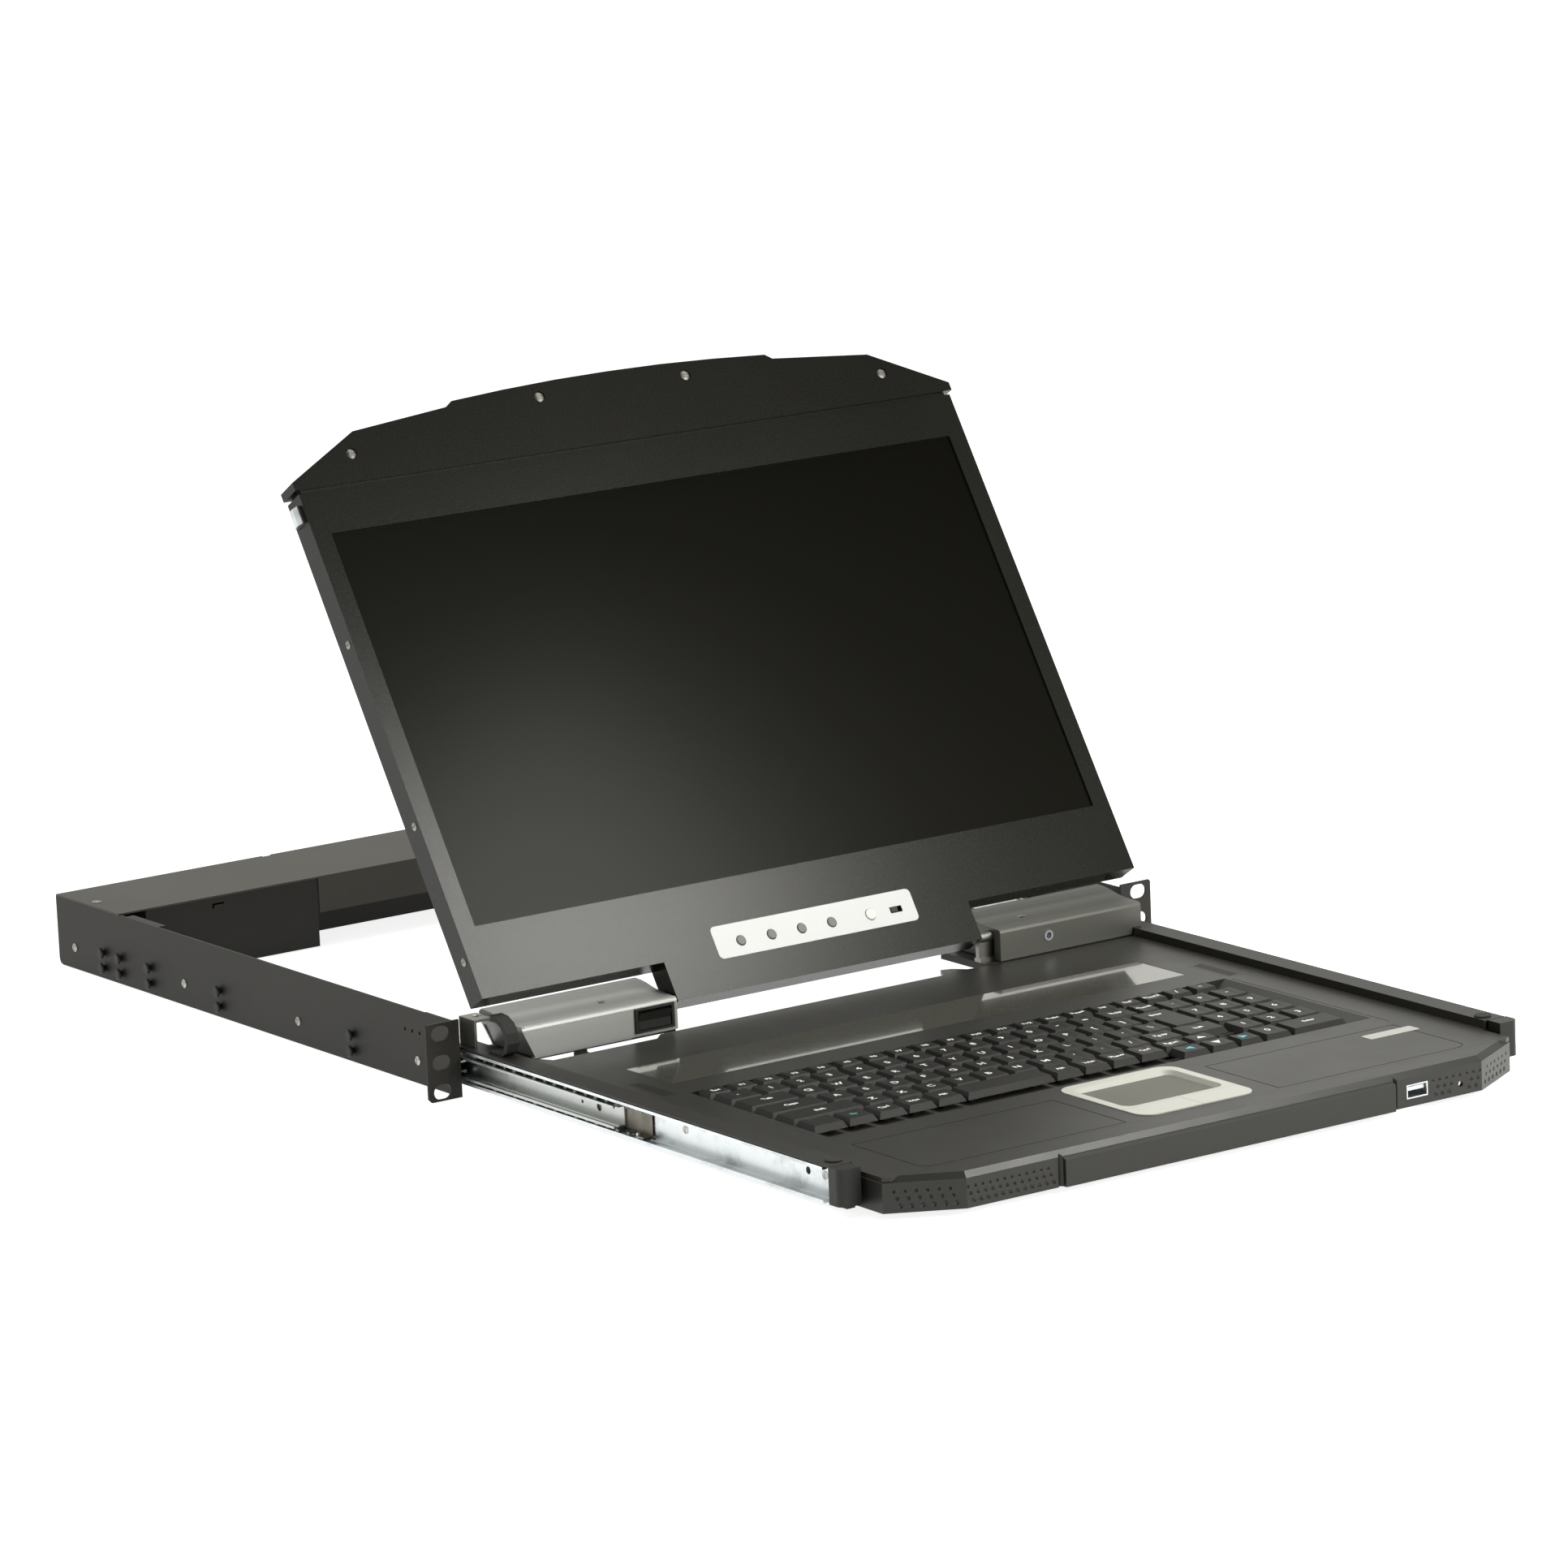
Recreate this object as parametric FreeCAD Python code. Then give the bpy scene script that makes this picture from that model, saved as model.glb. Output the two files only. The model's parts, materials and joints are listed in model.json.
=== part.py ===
"""Rackmount LCD console drawer: one rack unit high, drawn out on ball bearing slides, screen raised.

Millimetres.  X runs to the user's right, Y to the back of the rack, Z up.  The layout below is
written with y = 0 on the front face of the rack ears and z = 0 on the underside of the case; every
piece is lowered by SLOT_MID_Z on export, so the row's origin is midway between the rack slots.
"""
import FreeCAD
import Part
import math
import os
from FreeCAD import Vector as V

OUT = "parts"

# ---------------------------------------------------------------- rack interface
RACK_WIDTH = 482.6            # over the ears, nineteen inches
SLOT_SPACING_X = 465.1        # slot centres, left to right
SLOT_SPACING_Z = 15.875       # between neighbouring slots of one ear
SLOT_MID_Z = 21.7             # height of the middle slot above the case underside
SLOT_LENGTH = 10.8            # end to end, along X
SLOT_WIDTH = 8.0
EAR_BOTTOM_Z = 0.8
EAR_TOP_Z = 43.2

# ---------------------------------------------------------------- case
CASE_DEPTH = 427.5
WALL_OUT_X = 221.65
WALL_T = 1.2
WALL_IN_X = WALL_OUT_X - WALL_T
WALL_BOTTOM_Z = 0.8
WALL_TOP_Z = 41.2
REAR_BOX_L = 71.5             # depth of the rear housing at its sides
REAR_FRONT_Y = CASE_DEPTH - REAR_BOX_L
REAR_RECESS_L = 34.0          # how far its middle is set back
REAR_RECESS_Y = REAR_FRONT_Y + REAR_RECESS_L
REAR_SIDE_X = 203.7           # housing sides, leaving a lane for the slides
REAR_STEP_X = 90.0
SHEET_T = 1.0
COVER_Z = 40.8                # underside of the top cover
COVER_T = 1.0
COVER_HALF_X = WALL_OUT_X + 0.05
TAB_Y = (REAR_FRONT_Y - 43.0, REAR_FRONT_Y - 7.0)     # small turned-in tab on the wall top
TAB_X = WALL_OUT_X - 6.05
WALL_SCREW_Y = (41.0, 163.4, 285.6, CASE_DEPTH - 19.0)
WALL_SCREW_Z = 13.4
STUD_Y = (107.0, 246.5, CASE_DEPTH - 104.5, CASE_DEPTH - 71.5, CASE_DEPTH - 52.5)
STUD_Z = (7.1, 16.1)
COVER_SCREW = (WALL_OUT_X - 6.65, CASE_DEPTH - 35.5)
FRONT_LIP_L = 32.0            # raised strip on the wall top behind the ear
FRONT_LIP_RISE = 0.4
WALL_SCREW_HOLE_R = 1.2
STUD_SHANK_R = 1.5
STUD_COLLAR_R = 1.7
STUD_HEAD_R = 3.2
STUD_NECK_L = 1.4
STUD_HEIGHT = 3.4
LOUVRE_Y = (38.0, 45.3, 52.5)
LOUVRE_Z = (28.0, 29.8)
LOUVRE_W = 1.8
REAR_TAB_Y = CASE_DEPTH - 27.5        # front of the rear housing's side tabs
SEAL_NOTCH_X = (-160.0, -152.0)
SEAL_NOTCH_Z = (34.4, 36.4, 37.4)
VENTS = 9
VENT_FIRST_X = -60.0
VENT_PITCH = 15.0
VENT_L = 9.0
VENT_Z = ((10.0, 12.0), (28.0, 30.0))
COVER_SKIRT_Z = 22.0
COVER_LIP_Z = 20.5
COVER_NOTCH = (-84.0, -78.0, 2.0)     # from x, to x, depth of the notch in the rear edge
SUPPLY_BOARD_X = (REAR_STEP_X + 6.0, REAR_SIDE_X - 7.7)
SUPPLY_BOARD_Y = (REAR_FRONT_Y + 6.0, CASE_DEPTH - 23.5)
SUPPLY_BOARD_Z = (WALL_BOTTOM_Z + 6.2, WALL_BOTTOM_Z + 7.8)

# ---------------------------------------------------------------- slides
SLIDE_MID_Z = 16.2
TRAY_SIDE_X = 209.0           # outer face of the tray sides
DRAWER_WEB_X = 210.3          # outer face of the drawer member web
BALL_R = 1.2
RACE_GAP = 0.1                # running clearance of a ball in its groove
RACE_R = BALL_R + RACE_GAP
CASE_MEMBER_Y = (4.0, 354.0)
MIDDLE_MEMBER_Y = (-143.0, 202.0)
DRAWER_MEMBER_Y = (-327.0, 18.0)
OUTER_CAGE_Y = (18.0, 180.0)
INNER_CAGE_Y = (-167.0, -5.0)
RACE_A = (214.4, 6.9)         # ball centre x, height off the mid line, drawer side pair
RACE_B = (217.2, 4.3)         # the same for the case side pair
CAGE_T = 0.3
CAGE_WINDOWS = 16
CAGE_WINDOW_L = 7.4
CAGE_PITCH = 9.6
CAGE_END = 9.0                # first window centre from the end of the cage
CAGE_LIP = 0.5                # half height of the windowed outer lip
BALL_EVERY = 2                # every second window holds a ball
MIDDLE_WEB_X = (211.5, 212.4)
MIDDLE_TIP_X = 219.2
MIDDLE_HALF_H = (6.05, 4.75)  # outside and inside half heights of the channel
DRAWER_TIP_X = 218.0
DRAWER_HALF_H = (9.3, 7.75)
CASE_WEB_X = 219.4            # inner face of the case member web
CASE_TIP_X = 214.6
CASE_HALF_H = (3.85, 2.15)
MEMBER_HOLE_R = 1.25
ACCESS_HOLE = (-304.0, 18.0, 2.0)     # y, z, radius
MIDDLE_HOLES = ((-119.7, 2.2), (-104.0, 1.0))
MIDDLE_HOLE_Z = 16.4
OUTER_CAGE_WEB_X = 213.1
OUTER_CAGE_W = 1.6            # from the ball centres to the outer edge
INNER_CAGE_WEB_X = 210.95
INNER_CAGE_W = 3.0
MEMBER_SCREW_Y = (-318.5, -196.0)
MEMBER_SCREW_Z = 18.4

# ---------------------------------------------------------------- drawer
TRAY_FRONT_Y = -333.0
TRAY_REAR_Y = -43.0
TRAY_FLOOR_Z = 4.0
TRAY_T = 1.0
LIP_REAR_Y = -32.2            # rear end of the flanges' turned-down lip
HINGE_SHELF_X = 103.2         # inner edge of the two hinge shelves
HINGE_SHELF_Y = (-30.0, 12.0)
HINGE_SHELF_Z = (18.6, 21.6, 22.6)    # edge of its lip, underside, top
SHELF_LINK_X = (160.0, 168.0)
BOARD_POST_X = (-150.0, 0.0, 150.0)
BOARD_POST_Y = (-258.0, -166.0)
BOARD_POST = 5.0
FLOOR_SLOT_X = range(-150, 151, 60)
FLOOR_SLOT_HALF_L = 20.0
FLOOR_SLOT_Y = ((-110.0, -106.0), (-96.0, -92.0))
ARM_REAR_Y = 14.0
FLANGE_TOP_Z = 26.8
FLANGE_IN_X = TRAY_SIDE_X - 5.0
FLANGE_OUT_X = TRAY_SIDE_X + 8.6
FLANGE_REAR_Y = 10.0
DECK_Z = 22.4
DECK_T = 2.2
DECK_UNDER_Z = DECK_Z - DECK_T
DECK_SIDE_X = TRAY_SIDE_X - TRAY_T - 0.2
DECK_FRONT_Y = TRAY_FRONT_Y - 24.0
DECK_LEDGE_Z = DECK_Z - 1.5   # seat for the pieces let into the deck
RECESS_X = (-175.0, 176.5)
RECESS_Y = (-273.0, -148.4)
RECESS_BEVEL_X = 167.0
WINDOW_X = (-171.0, 167.0)
WINDOW_Y = (-126.0, -83.0)
GRILLE_X = (180.5, 190.0)
GRILLE_Y = (-147.0, -111.0)
GRILLE_SLOTS = 18
GRILLE_PITCH = 1.8
GRILLE_SLOT_W = 0.8
PALM_X = (49.0, 175.5)
PALM_Y = (-354.0, -292.0)
PALM_R = 8.0
CREASE_X = 178.5
FASCIA_SIDE_X = 202.0
FASCIA_CHAMFER = ((202.0, -355.0), (165.5, -375.5))
GRIP_FRONT_Y = -375.5
HANDLE_FRONT_Y = -378.0
HANDLE_HALF_X = 106.0
GROOVE_OUT_X = 109.0
GRIP_TOP_Z = 19.5
USB_X = 122.0
USB_Z = 12.0
USB_SIZE = (14.0, 7.4)
RESET_HOLE = (151.3, 10.1, 1.6)
DIMPLE_DEPTH = 0.7
DIMPLE_PITCH = 4.5
DIMPLE_ROWS = ((14.9, 0.9, 1.5), (11.3, 1.1, 0.0), (7.5, 1.35, -1.6))   # height, radius, shift outward
DIMPLES_FRONT = 12
DIMPLE_FIRST_X = 113.5
CHAMFER_PITCH = 5.6
DIMPLES_CHAMFER = 6
BLOCK_X = (206.0, 218.6)
BLOCK_Y = (-343.0, -333.0)
BLOCK_Z = (7.6, 26.7)
PAD_X = 209.3
PAD_Y = -325.0
PAD_R = 4.5
PAD_TOP_Z = FLANGE_TOP_Z + 1.0

# ---------------------------------------------------------------- touchpad
PAD_FRAME_X = 37.3
PAD_FRAME_Y = (-353.5, -277.0)
PAD_FRAME_R = 10.0
PAD_FRAME_TOP = 22.9
PAD_GAP = 0.15                # frame to its seat in the deck
MOUTH_X = 32.0                # recess of the touch surface, at the top of the frame
MOUTH_Y = (-332.0, -284.5)
MOUTH_R = 6.0
MOUTH_LEAN = 2.0              # how far its walls lean in on the way down
TOUCH_Z = 20.7                # top of the touch surface
TUB_FLOOR_Z = 19.9
TUB_FLOOR_T = 0.8
BUTTON_Y = (-353.2, -334.3)
BUTTON_SPLIT_X = 0.5
BUTTON_UNDER_Z = 22.0
SHELF_TOP_Z = 21.2            # shelf of the frame under the two buttons
BUTTON_CLEAR = 0.3
BUTTON_STEM = 4.0
BUTTON_STEM_X = 17.5
BUTTON_STEM_Y = -343.0

# ---------------------------------------------------------------- keyboard
UNIT = 18.53
KEY_GAP = 1.1
KEY_TOP_Z = 23.6
CAP_TAPER = (1.9, 2.1, 1.1)   # how far a cap leans in at its sides, front and rear
CAP_SLOPE = 0.3               # how much lower its front edge is
WIDE_KEY = 45.0               # wider caps stand on two stems
CAP_UNDER_Z = 19.8
PLATE_TOP_Z = 16.9
PLATE_T = 1.2
STEM = 4.0
STEM_GAP = 0.3
STEM_END_Z = 13.4
DISH_R = 22.0
DISH_DEPTH = 0.45
BOARD_Z = 9.0
BOARD_T = 1.6
LAMPS = 16                    # lamps under the smoked window
LAMP_FIRST_X = -150.0
LAMP_PITCH = 18.6
LAMP_Y = -110.0
LAMP_H = 4.0

# ---------------------------------------------------------------- hinge
HINGE_RISE = 3.0              # hinge axis above the lower edge of the screen
CLOSED_FRONT_Z = 28.2         # screen face when folded down, just over the pads
SHAFT_R = 2.0
SHAFT_RUN = 0.08
SLEEVE_R = 2.9
BARREL_LEFT_END = 104.9       # the left barrel is short, beside the rocker switch
BARREL_RIGHT_END = 121.0
HINGE_BOX_LEFT = (-201.0, 0.6 - HINGE_SHELF_X)
HINGE_BOX_RIGHT = (112.5, TRAY_SIDE_X + 1.0)
BOX_FRONT_Y = -31.5
BOX_T = 1.5
BARREL_WEB = 3.0
BARREL_FOOT = 2.0
ANGLE_OUT_X = TRAY_SIDE_X + 5.1       # outer face of the angle brackets
ANGLE_T = 1.5
ANGLE_REACH = 10.7
ANGLE_TOP_Z = FLANGE_TOP_Z + 15.4
ANGLE_Y = (-5.0, FLANGE_REAR_Y - 0.2)
ANGLE_SCREW = (TRAY_SIDE_X - 2.5, 4.0)
SLEEVE_X = (TRAY_SIDE_X - 2.6, TRAY_SIDE_X + 4.8)     # folded cable sleeve
SLEEVE_OUTER = (14.6, 12.0)   # half axes of its fold, outside and inside
SLEEVE_INNER = (11.4, 9.2)
SLEEVE_START = 290.0
SLEEVE_STEP = 26.0
COVER_TOP_SCREW = (140.0, -14.6, 41.0)
ROCKER_X = (-130.0, -105.0)
ROCKER_Z = (24.8, 38.2)
ROCKER_TILT = 8.0
ROCKER_AXIS_Y = -27.5
ROCKER_PIN_R = 0.9
JACK_X = 145.5
JACK_Z = 32.3

# ---------------------------------------------------------------- screen
TILT = 32.3                   # lean back from upright when raised
SCREEN_O = V(0.0, 4.11, 90.56)
BEZEL_HALF_X = 216.5
ACTIVE_H = 230.4
BEZEL_TOP = ACTIVE_H + 25.6
BEZEL_BOTTOM = -63.3
NOTCH_X = 101.0
NOTCH_V = -40.6
ACTIVE_HALF_X = BEZEL_HALF_X - 11.6
SCREEN_FRONT = 1.0
SCREEN_BACK = -13.5
SPLIT_W = -6.0
SKIN_T = 1.5
HANDLE_V = BEZEL_TOP + 2.0    # lower edge of the handle moulding
HANDLE_SIDE_X = BEZEL_HALF_X + 1.9
HANDLE_SHOULDER = (HANDLE_SIDE_X - 47.1, HANDLE_V + 29.0)
HANDLE_GRIP_X = 108.5         # where the raised grip begins
HANDLE_GRIP_V = HANDLE_V + 35.0
HANDLE_CROWN = 42.0           # height of the grip at its middle
HANDLE_W = 2.0
LABEL_X = 66.3
OSD_V = -37.1                 # row of the screen controls
LABEL_V = (OSD_V - 8.4, OSD_V + 10.6)
OSD_BUTTON_X = (-49.5, -29.4, -9.5, 10.5)
OSD_BUTTON_R = 2.8
POWER_X = 36.4
POWER_R = 3.2
SWITCH_X = 52.0
SWITCH_TRAVEL = 3.0
LATCH_V = (BEZEL_TOP - 15.5, BEZEL_TOP - 5.5)
LATCH_W = (-11.0, -2.0)
LATCH_OUT_X = BEZEL_HALF_X + 3.3
SIDE_SCREW_V = (168.5, 61.5, -17.5)
SIDE_SCREW_W = -4.0
SHAFT_SEAT_X = 89.0           # inner end of the shaft seats in the screen's foot
SHAFT_FIT = 0.02
BUTTON_HOLE_GAP = 0.3
HANDLE_SCREW_OUTER = (HANDLE_SIDE_X - 41.9, HANDLE_V + 16.5)
HANDLE_SCREW_INNER = (48.5, HANDLE_V + 33.0)
HANDLE_SCREWS = [(s * x, v) for s in (1, -1) for x, v in (HANDLE_SCREW_OUTER, HANDLE_SCREW_INNER)]
HANDLE_BOSS_R = 4.4
HANDLE_SINK_R = 3.3
BACK_VENTS = 14
BACK_VENT_PITCH = 18.0
BACK_VENT_L = 12.0
BACK_VENT_V = ((200.0, 203.0), (210.0, 213.0))
PANEL_HALF_X = BEZEL_HALF_X - 6.5
PANEL_V = (-5.0, BEZEL_TOP - 20.0)
PANEL_BACK_W = SCREEN_BACK + 5.0
CONTROL_BOARD_W = (SCREEN_FRONT - 7.0, SCREEN_FRONT - 5.6)
DRIVER_BOARD_V = (60.0, 140.0)

DOWN = V(0, 0, -SLOT_MID_Z)

# The hinge axis sits HINGE_BACK behind the screen face, so that folding the screen through
# 90 + TILT degrees lays its face level at CLOSED_FRONT_Z.
COS_T = math.cos(math.radians(TILT))
SIN_T = math.sin(math.radians(TILT))
FOOT_Y = SCREEN_O.y + BEZEL_BOTTOM * SIN_T - SCREEN_FRONT * COS_T
FOOT_Z = SCREEN_O.z + BEZEL_BOTTOM * COS_T + SCREEN_FRONT * SIN_T
HINGE_BACK = (FOOT_Z + HINGE_RISE * COS_T - CLOSED_FRONT_Z) / (1 + SIN_T)
AXIS_Y = FOOT_Y + HINGE_RISE * SIN_T + HINGE_BACK * COS_T
AXIS_Z = CLOSED_FRONT_Z + HINGE_BACK
AXIS_V = BEZEL_BOTTOM + HINGE_RISE
AXIS_W = SCREEN_FRONT - HINGE_BACK


# ---------------------------------------------------------------- helpers
def box(x0, x1, y0, y1, z0, z1):
    """Box between two corners given as ranges."""
    return Part.makeBox(x1 - x0, y1 - y0, z1 - z0, V(x0, y0, z0))


def rod(r, length, at, along):
    """Cylinder of radius r from point at, along a direction."""
    return Part.makeCylinder(r, length, V(*at), V(*along))


def prism(points, x0, x1):
    """Closed (y, z) outline drawn out along X."""
    wire = Part.makePolygon([V(x0, y, z) for y, z in points + points[:1]])
    return Part.Face(wire).extrude(V(x1 - x0, 0, 0))


def bar(points, y0, y1):
    """Closed (x, z) outline drawn out along Y."""
    wire = Part.makePolygon([V(x, y0, z) for x, z in points + points[:1]])
    return Part.Face(wire).extrude(V(0, y1 - y0, 0))


def plate(points, z0, z1):
    """Closed (x, y) outline drawn out along Z."""
    wire = Part.makePolygon([V(x, y, z0) for x, y in points + points[:1]])
    return Part.Face(wire).extrude(V(0, 0, z1 - z0))


def round_wire(x0, x1, y0, y1, r, z0, corners=(1, 1, 1, 1)):
    """Rectangle with chosen corners rounded: front left, front right, back right, back left."""
    edges = []
    centre = ((x0 + r, y0 + r, 225), (x1 - r, y0 + r, 315), (x1 - r, y1 - r, 45), (x0 + r, y1 - r, 135))
    sharp = ((x0, y0), (x1, y0), (x1, y1), (x0, y1))
    start = ((x0, y0 + r), (x1 - r, y0), (x1, y1 - r), (x0 + r, y1))
    end = ((x0 + r, y0), (x1, y0 + r), (x1 - r, y1), (x0, y1 - r))
    last = None
    first = None
    for i in range(4):
        if corners[i]:
            a = V(start[i][0], start[i][1], z0)
            b = V(end[i][0], end[i][1], z0)
            cx, cy, deg = centre[i]
            m = V(cx + r * math.cos(math.radians(deg)), cy + r * math.sin(math.radians(deg)), z0)
            if last is not None:
                edges.append(Part.makeLine(last, a))
            edges.append(Part.Arc(a, m, b).toShape())
        else:
            a = V(sharp[i][0], sharp[i][1], z0)
            b = a
            if last is not None:
                edges.append(Part.makeLine(last, a))
        first = first or a
        last = b
    edges.append(Part.makeLine(last, first))
    return Part.Wire(edges)


def rounded(x0, x1, y0, y1, r, z0, z1, corners=(1, 1, 1, 1)):
    """Plate on a rectangle with chosen corners rounded."""
    return Part.Face(round_wire(x0, x1, y0, y1, r, z0, corners)).extrude(V(0, 0, z1 - z0))


def slot_x(x, z, length, width, y0, y1):
    """Slot with round ends running along X, cut through along Y."""
    r = width / 2
    half = length / 2 - r
    body = box(x - half, x + half, y0, y1, z - r, z + r)
    left = rod(r, y1 - y0, (x - half, y0, z), (0, 1, 0))
    right = rod(r, y1 - y0, (x + half, y0, z), (0, 1, 0))
    return body.fuse([left, right]).removeSplitter()


def fuse(shapes):
    """One solid from touching shapes."""
    return shapes[0].fuse(list(shapes[1:])).removeSplitter() if len(shapes) > 1 else shapes[0]


def flip(shape):
    """Mirror image across the middle plane."""
    return shape.mirror(V(0, 0, 0), V(1, 0, 0))


def both(shape):
    """A shape and its mirror image."""
    return [shape, flip(shape)]


def export(name, shapes):
    """Write one named piece, given in layout coordinates, to its STEP file."""
    shapes = shapes if isinstance(shapes, (list, tuple)) else [shapes]
    solids = []
    for shape in shapes:
        solids += shape.Solids
    body = solids[0] if len(solids) == 1 else Part.makeCompound(solids)
    body = body.copy()
    body.translate(DOWN)
    body.exportStep(os.path.join(OUT, name + ".step"))


def raised(shape):
    """Take a shape from the flat screen layout (x, v, w) to the raised screen."""
    body = shape.copy()
    body.rotate(V(0, 0, 0), V(1, 0, 0), 90.0 - TILT)
    body.translate(SCREEN_O)
    return body


def pan_head(at, along, r=2.6, h=1.0, cross=True, shank=1.2, shank_l=2.4):
    """Pan head screw: low domed head with a cross recess, shank set into the sheet."""
    a = V(*at)
    d = V(*along)
    rise = h * 0.35
    profile = [V(0, 0, -shank_l), V(shank, 0, -shank_l), V(shank, 0, 0), V(r, 0, 0),
               V(r, 0, rise), V(r * 0.6, 0, h), V(0, 0, h), V(0, 0, -shank_l)]
    head = Part.Face(Part.makePolygon(profile)).revolve(V(0, 0, 0), V(0, 0, 1), 360)
    if cross:
        blade = r * 0.55
        head = head.cut(box(-blade, blade, -0.3, 0.3, h * 0.4, h + 1))
    turn = FreeCAD.Rotation(V(0, 0, 1), d)
    head.Placement = FreeCAD.Placement(a, turn)
    return head


# ---------------------------------------------------------------- case pieces
def case_side():
    """Right hand side panel with its rack ear, tab, screw holes and stud holes."""
    y1 = CASE_DEPTH
    step = REAR_FRONT_Y - 0.5
    outline = [(0, WALL_BOTTOM_Z), (y1 - 3.5, WALL_BOTTOM_Z), (y1 - 1, WALL_BOTTOM_Z + 1),
               (y1, WALL_BOTTOM_Z + 3.5), (y1, COVER_Z), (step, COVER_Z), (step, WALL_TOP_Z),
               (0, WALL_TOP_Z)]
    wall = prism(outline, WALL_IN_X, WALL_OUT_X)
    x1 = RACK_WIDTH / 2
    ear_pts = [(WALL_IN_X, EAR_BOTTOM_Z), (x1 - 2, EAR_BOTTOM_Z), (x1, EAR_BOTTOM_Z + 2),
               (x1, EAR_TOP_Z - 1), (x1 - 1, EAR_TOP_Z), (WALL_IN_X, EAR_TOP_Z)]
    ear = bar(ear_pts, 0, WALL_T)
    lip = box(WALL_IN_X, WALL_OUT_X, 0, FRONT_LIP_L, WALL_TOP_Z - 1, WALL_TOP_Z + FRONT_LIP_RISE)
    tab = box(TAB_X, WALL_OUT_X, TAB_Y[0], TAB_Y[1], WALL_TOP_Z - WALL_T, WALL_TOP_Z)
    side = fuse([wall, ear, lip, tab])
    cuts = []
    for k in (-1, 0, 1):
        cuts.append(slot_x(SLOT_SPACING_X / 2, SLOT_MID_Z + k * SLOT_SPACING_Z,
                           SLOT_LENGTH, SLOT_WIDTH, -1, WALL_T + 1))
    for y in WALL_SCREW_Y:
        cuts.append(rod(WALL_SCREW_HOLE_R, 4, (WALL_IN_X - 1, y, WALL_SCREW_Z), (1, 0, 0)))
    for y in STUD_Y:
        for z in STUD_Z:
            cuts.append(rod(STUD_SHANK_R, 4, (WALL_IN_X - 1, y, z), (1, 0, 0)))
    for y in LOUVRE_Y:
        cuts.append(box(WALL_IN_X - 1, WALL_OUT_X + 1, y - LOUVRE_W / 2, y + LOUVRE_W / 2,
                        LOUVRE_Z[0], LOUVRE_Z[1]))
    return side.cut(cuts)


def studs():
    """Headed studs riveted through the side panels."""
    r = STUD_SHANK_R
    c = STUD_COLLAR_R
    head = STUD_HEAD_R
    top = STUD_HEIGHT
    profile = [V(0, 0, -WALL_T), V(r, 0, -WALL_T), V(r, 0, 0), V(c, 0, 0), V(c, 0, STUD_NECK_L),
               V(head, 0, STUD_NECK_L + 0.6), V(head, 0, top - 0.6), V(head - 0.8, 0, top), V(0, 0, top),
               V(0, 0, -WALL_T)]
    stud = Part.Face(Part.makePolygon(profile)).revolve(V(0, 0, 0), V(0, 0, 1), 360)
    turn = FreeCAD.Rotation(V(0, 0, 1), V(1, 0, 0))
    out = []
    for y in STUD_Y:
        for z in STUD_Z:
            one = stud.copy()
            one.Placement = FreeCAD.Placement(V(WALL_OUT_X, y, z), turn)
            out += both(one)
    return out


INLET = (-160.0, 21.0, 27.6, 19.8)     # centre x, centre z, width, height
VGA = (110.0, 18.0, 17.0, 9.0)
USB_B = (150.0, 18.0, 12.2, 11.2)


def rear_housing():
    """Bent sheet housing at the back: floor, back wall and stepped front wall."""
    t = SHEET_T
    z0 = WALL_BOTTOM_Z
    xs = REAR_SIDE_X
    xm = REAR_STEP_X
    floor = plate([(-xs, REAR_FRONT_Y), (-xm, REAR_FRONT_Y), (-xm, REAR_RECESS_Y),
                   (xm, REAR_RECESS_Y), (xm, REAR_FRONT_Y), (xs, REAR_FRONT_Y),
                   (xs, CASE_DEPTH), (-xs, CASE_DEPTH)], z0, z0 + t)
    parts = [floor]
    parts.append(box(-WALL_IN_X, WALL_IN_X, CASE_DEPTH - t, CASE_DEPTH, z0, COVER_Z))
    parts.append(box(-xm - t, xm + t, REAR_RECESS_Y, REAR_RECESS_Y + t, z0, COVER_Z))
    for s in (-1, 1):
        a, b = sorted((s * xm, s * xs))
        parts.append(box(a, b, REAR_FRONT_Y, REAR_FRONT_Y + t, z0, COVER_Z))
        a, b = sorted((s * (xs - t), s * xs))
        parts.append(box(a, b, REAR_FRONT_Y, CASE_DEPTH, z0, COVER_Z))
        a, b = sorted((s * xm, s * (xm + t)))
        parts.append(box(a, b, REAR_FRONT_Y, REAR_RECESS_Y + t, z0, COVER_Z))
        a, b = sorted((s * (WALL_IN_X - t), s * WALL_IN_X))
        parts.append(box(a, b, REAR_TAB_Y, CASE_DEPTH, z0, COVER_Z))
    body = fuse(parts)
    nx0, nx1 = SEAL_NOTCH_X
    low, mid, high = SEAL_NOTCH_Z
    cuts = [box(nx0, nx1, REAR_FRONT_Y - 1, REAR_FRONT_Y + 2, mid, high)]
    cuts.append(box(nx0, nx0 + 1.2, REAR_FRONT_Y - 1, REAR_FRONT_Y + 2, low, high))
    for x, z, w, h in (INLET, VGA, USB_B):
        cuts.append(box(x - w / 2, x + w / 2, CASE_DEPTH - 2, CASE_DEPTH + 1, z - h / 2, z + h / 2))
    for s in (-1, 1):
        a, b = sorted((s * (WALL_IN_X - 2), s * (WALL_IN_X + 1)))
        cuts.append(box(a, b, WALL_SCREW_Y[3] - 1.3, WALL_SCREW_Y[3] + 1.3,
                        WALL_SCREW_Z - 1.3, WALL_SCREW_Z + 1.3))
    for i in range(VENTS):
        x = VENT_FIRST_X + i * VENT_PITCH
        for v0, v1 in VENT_Z:
            cuts.append(box(x, x + VENT_L, CASE_DEPTH - 2, CASE_DEPTH + 1, v0, v1))
    return body.cut(cuts)


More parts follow.
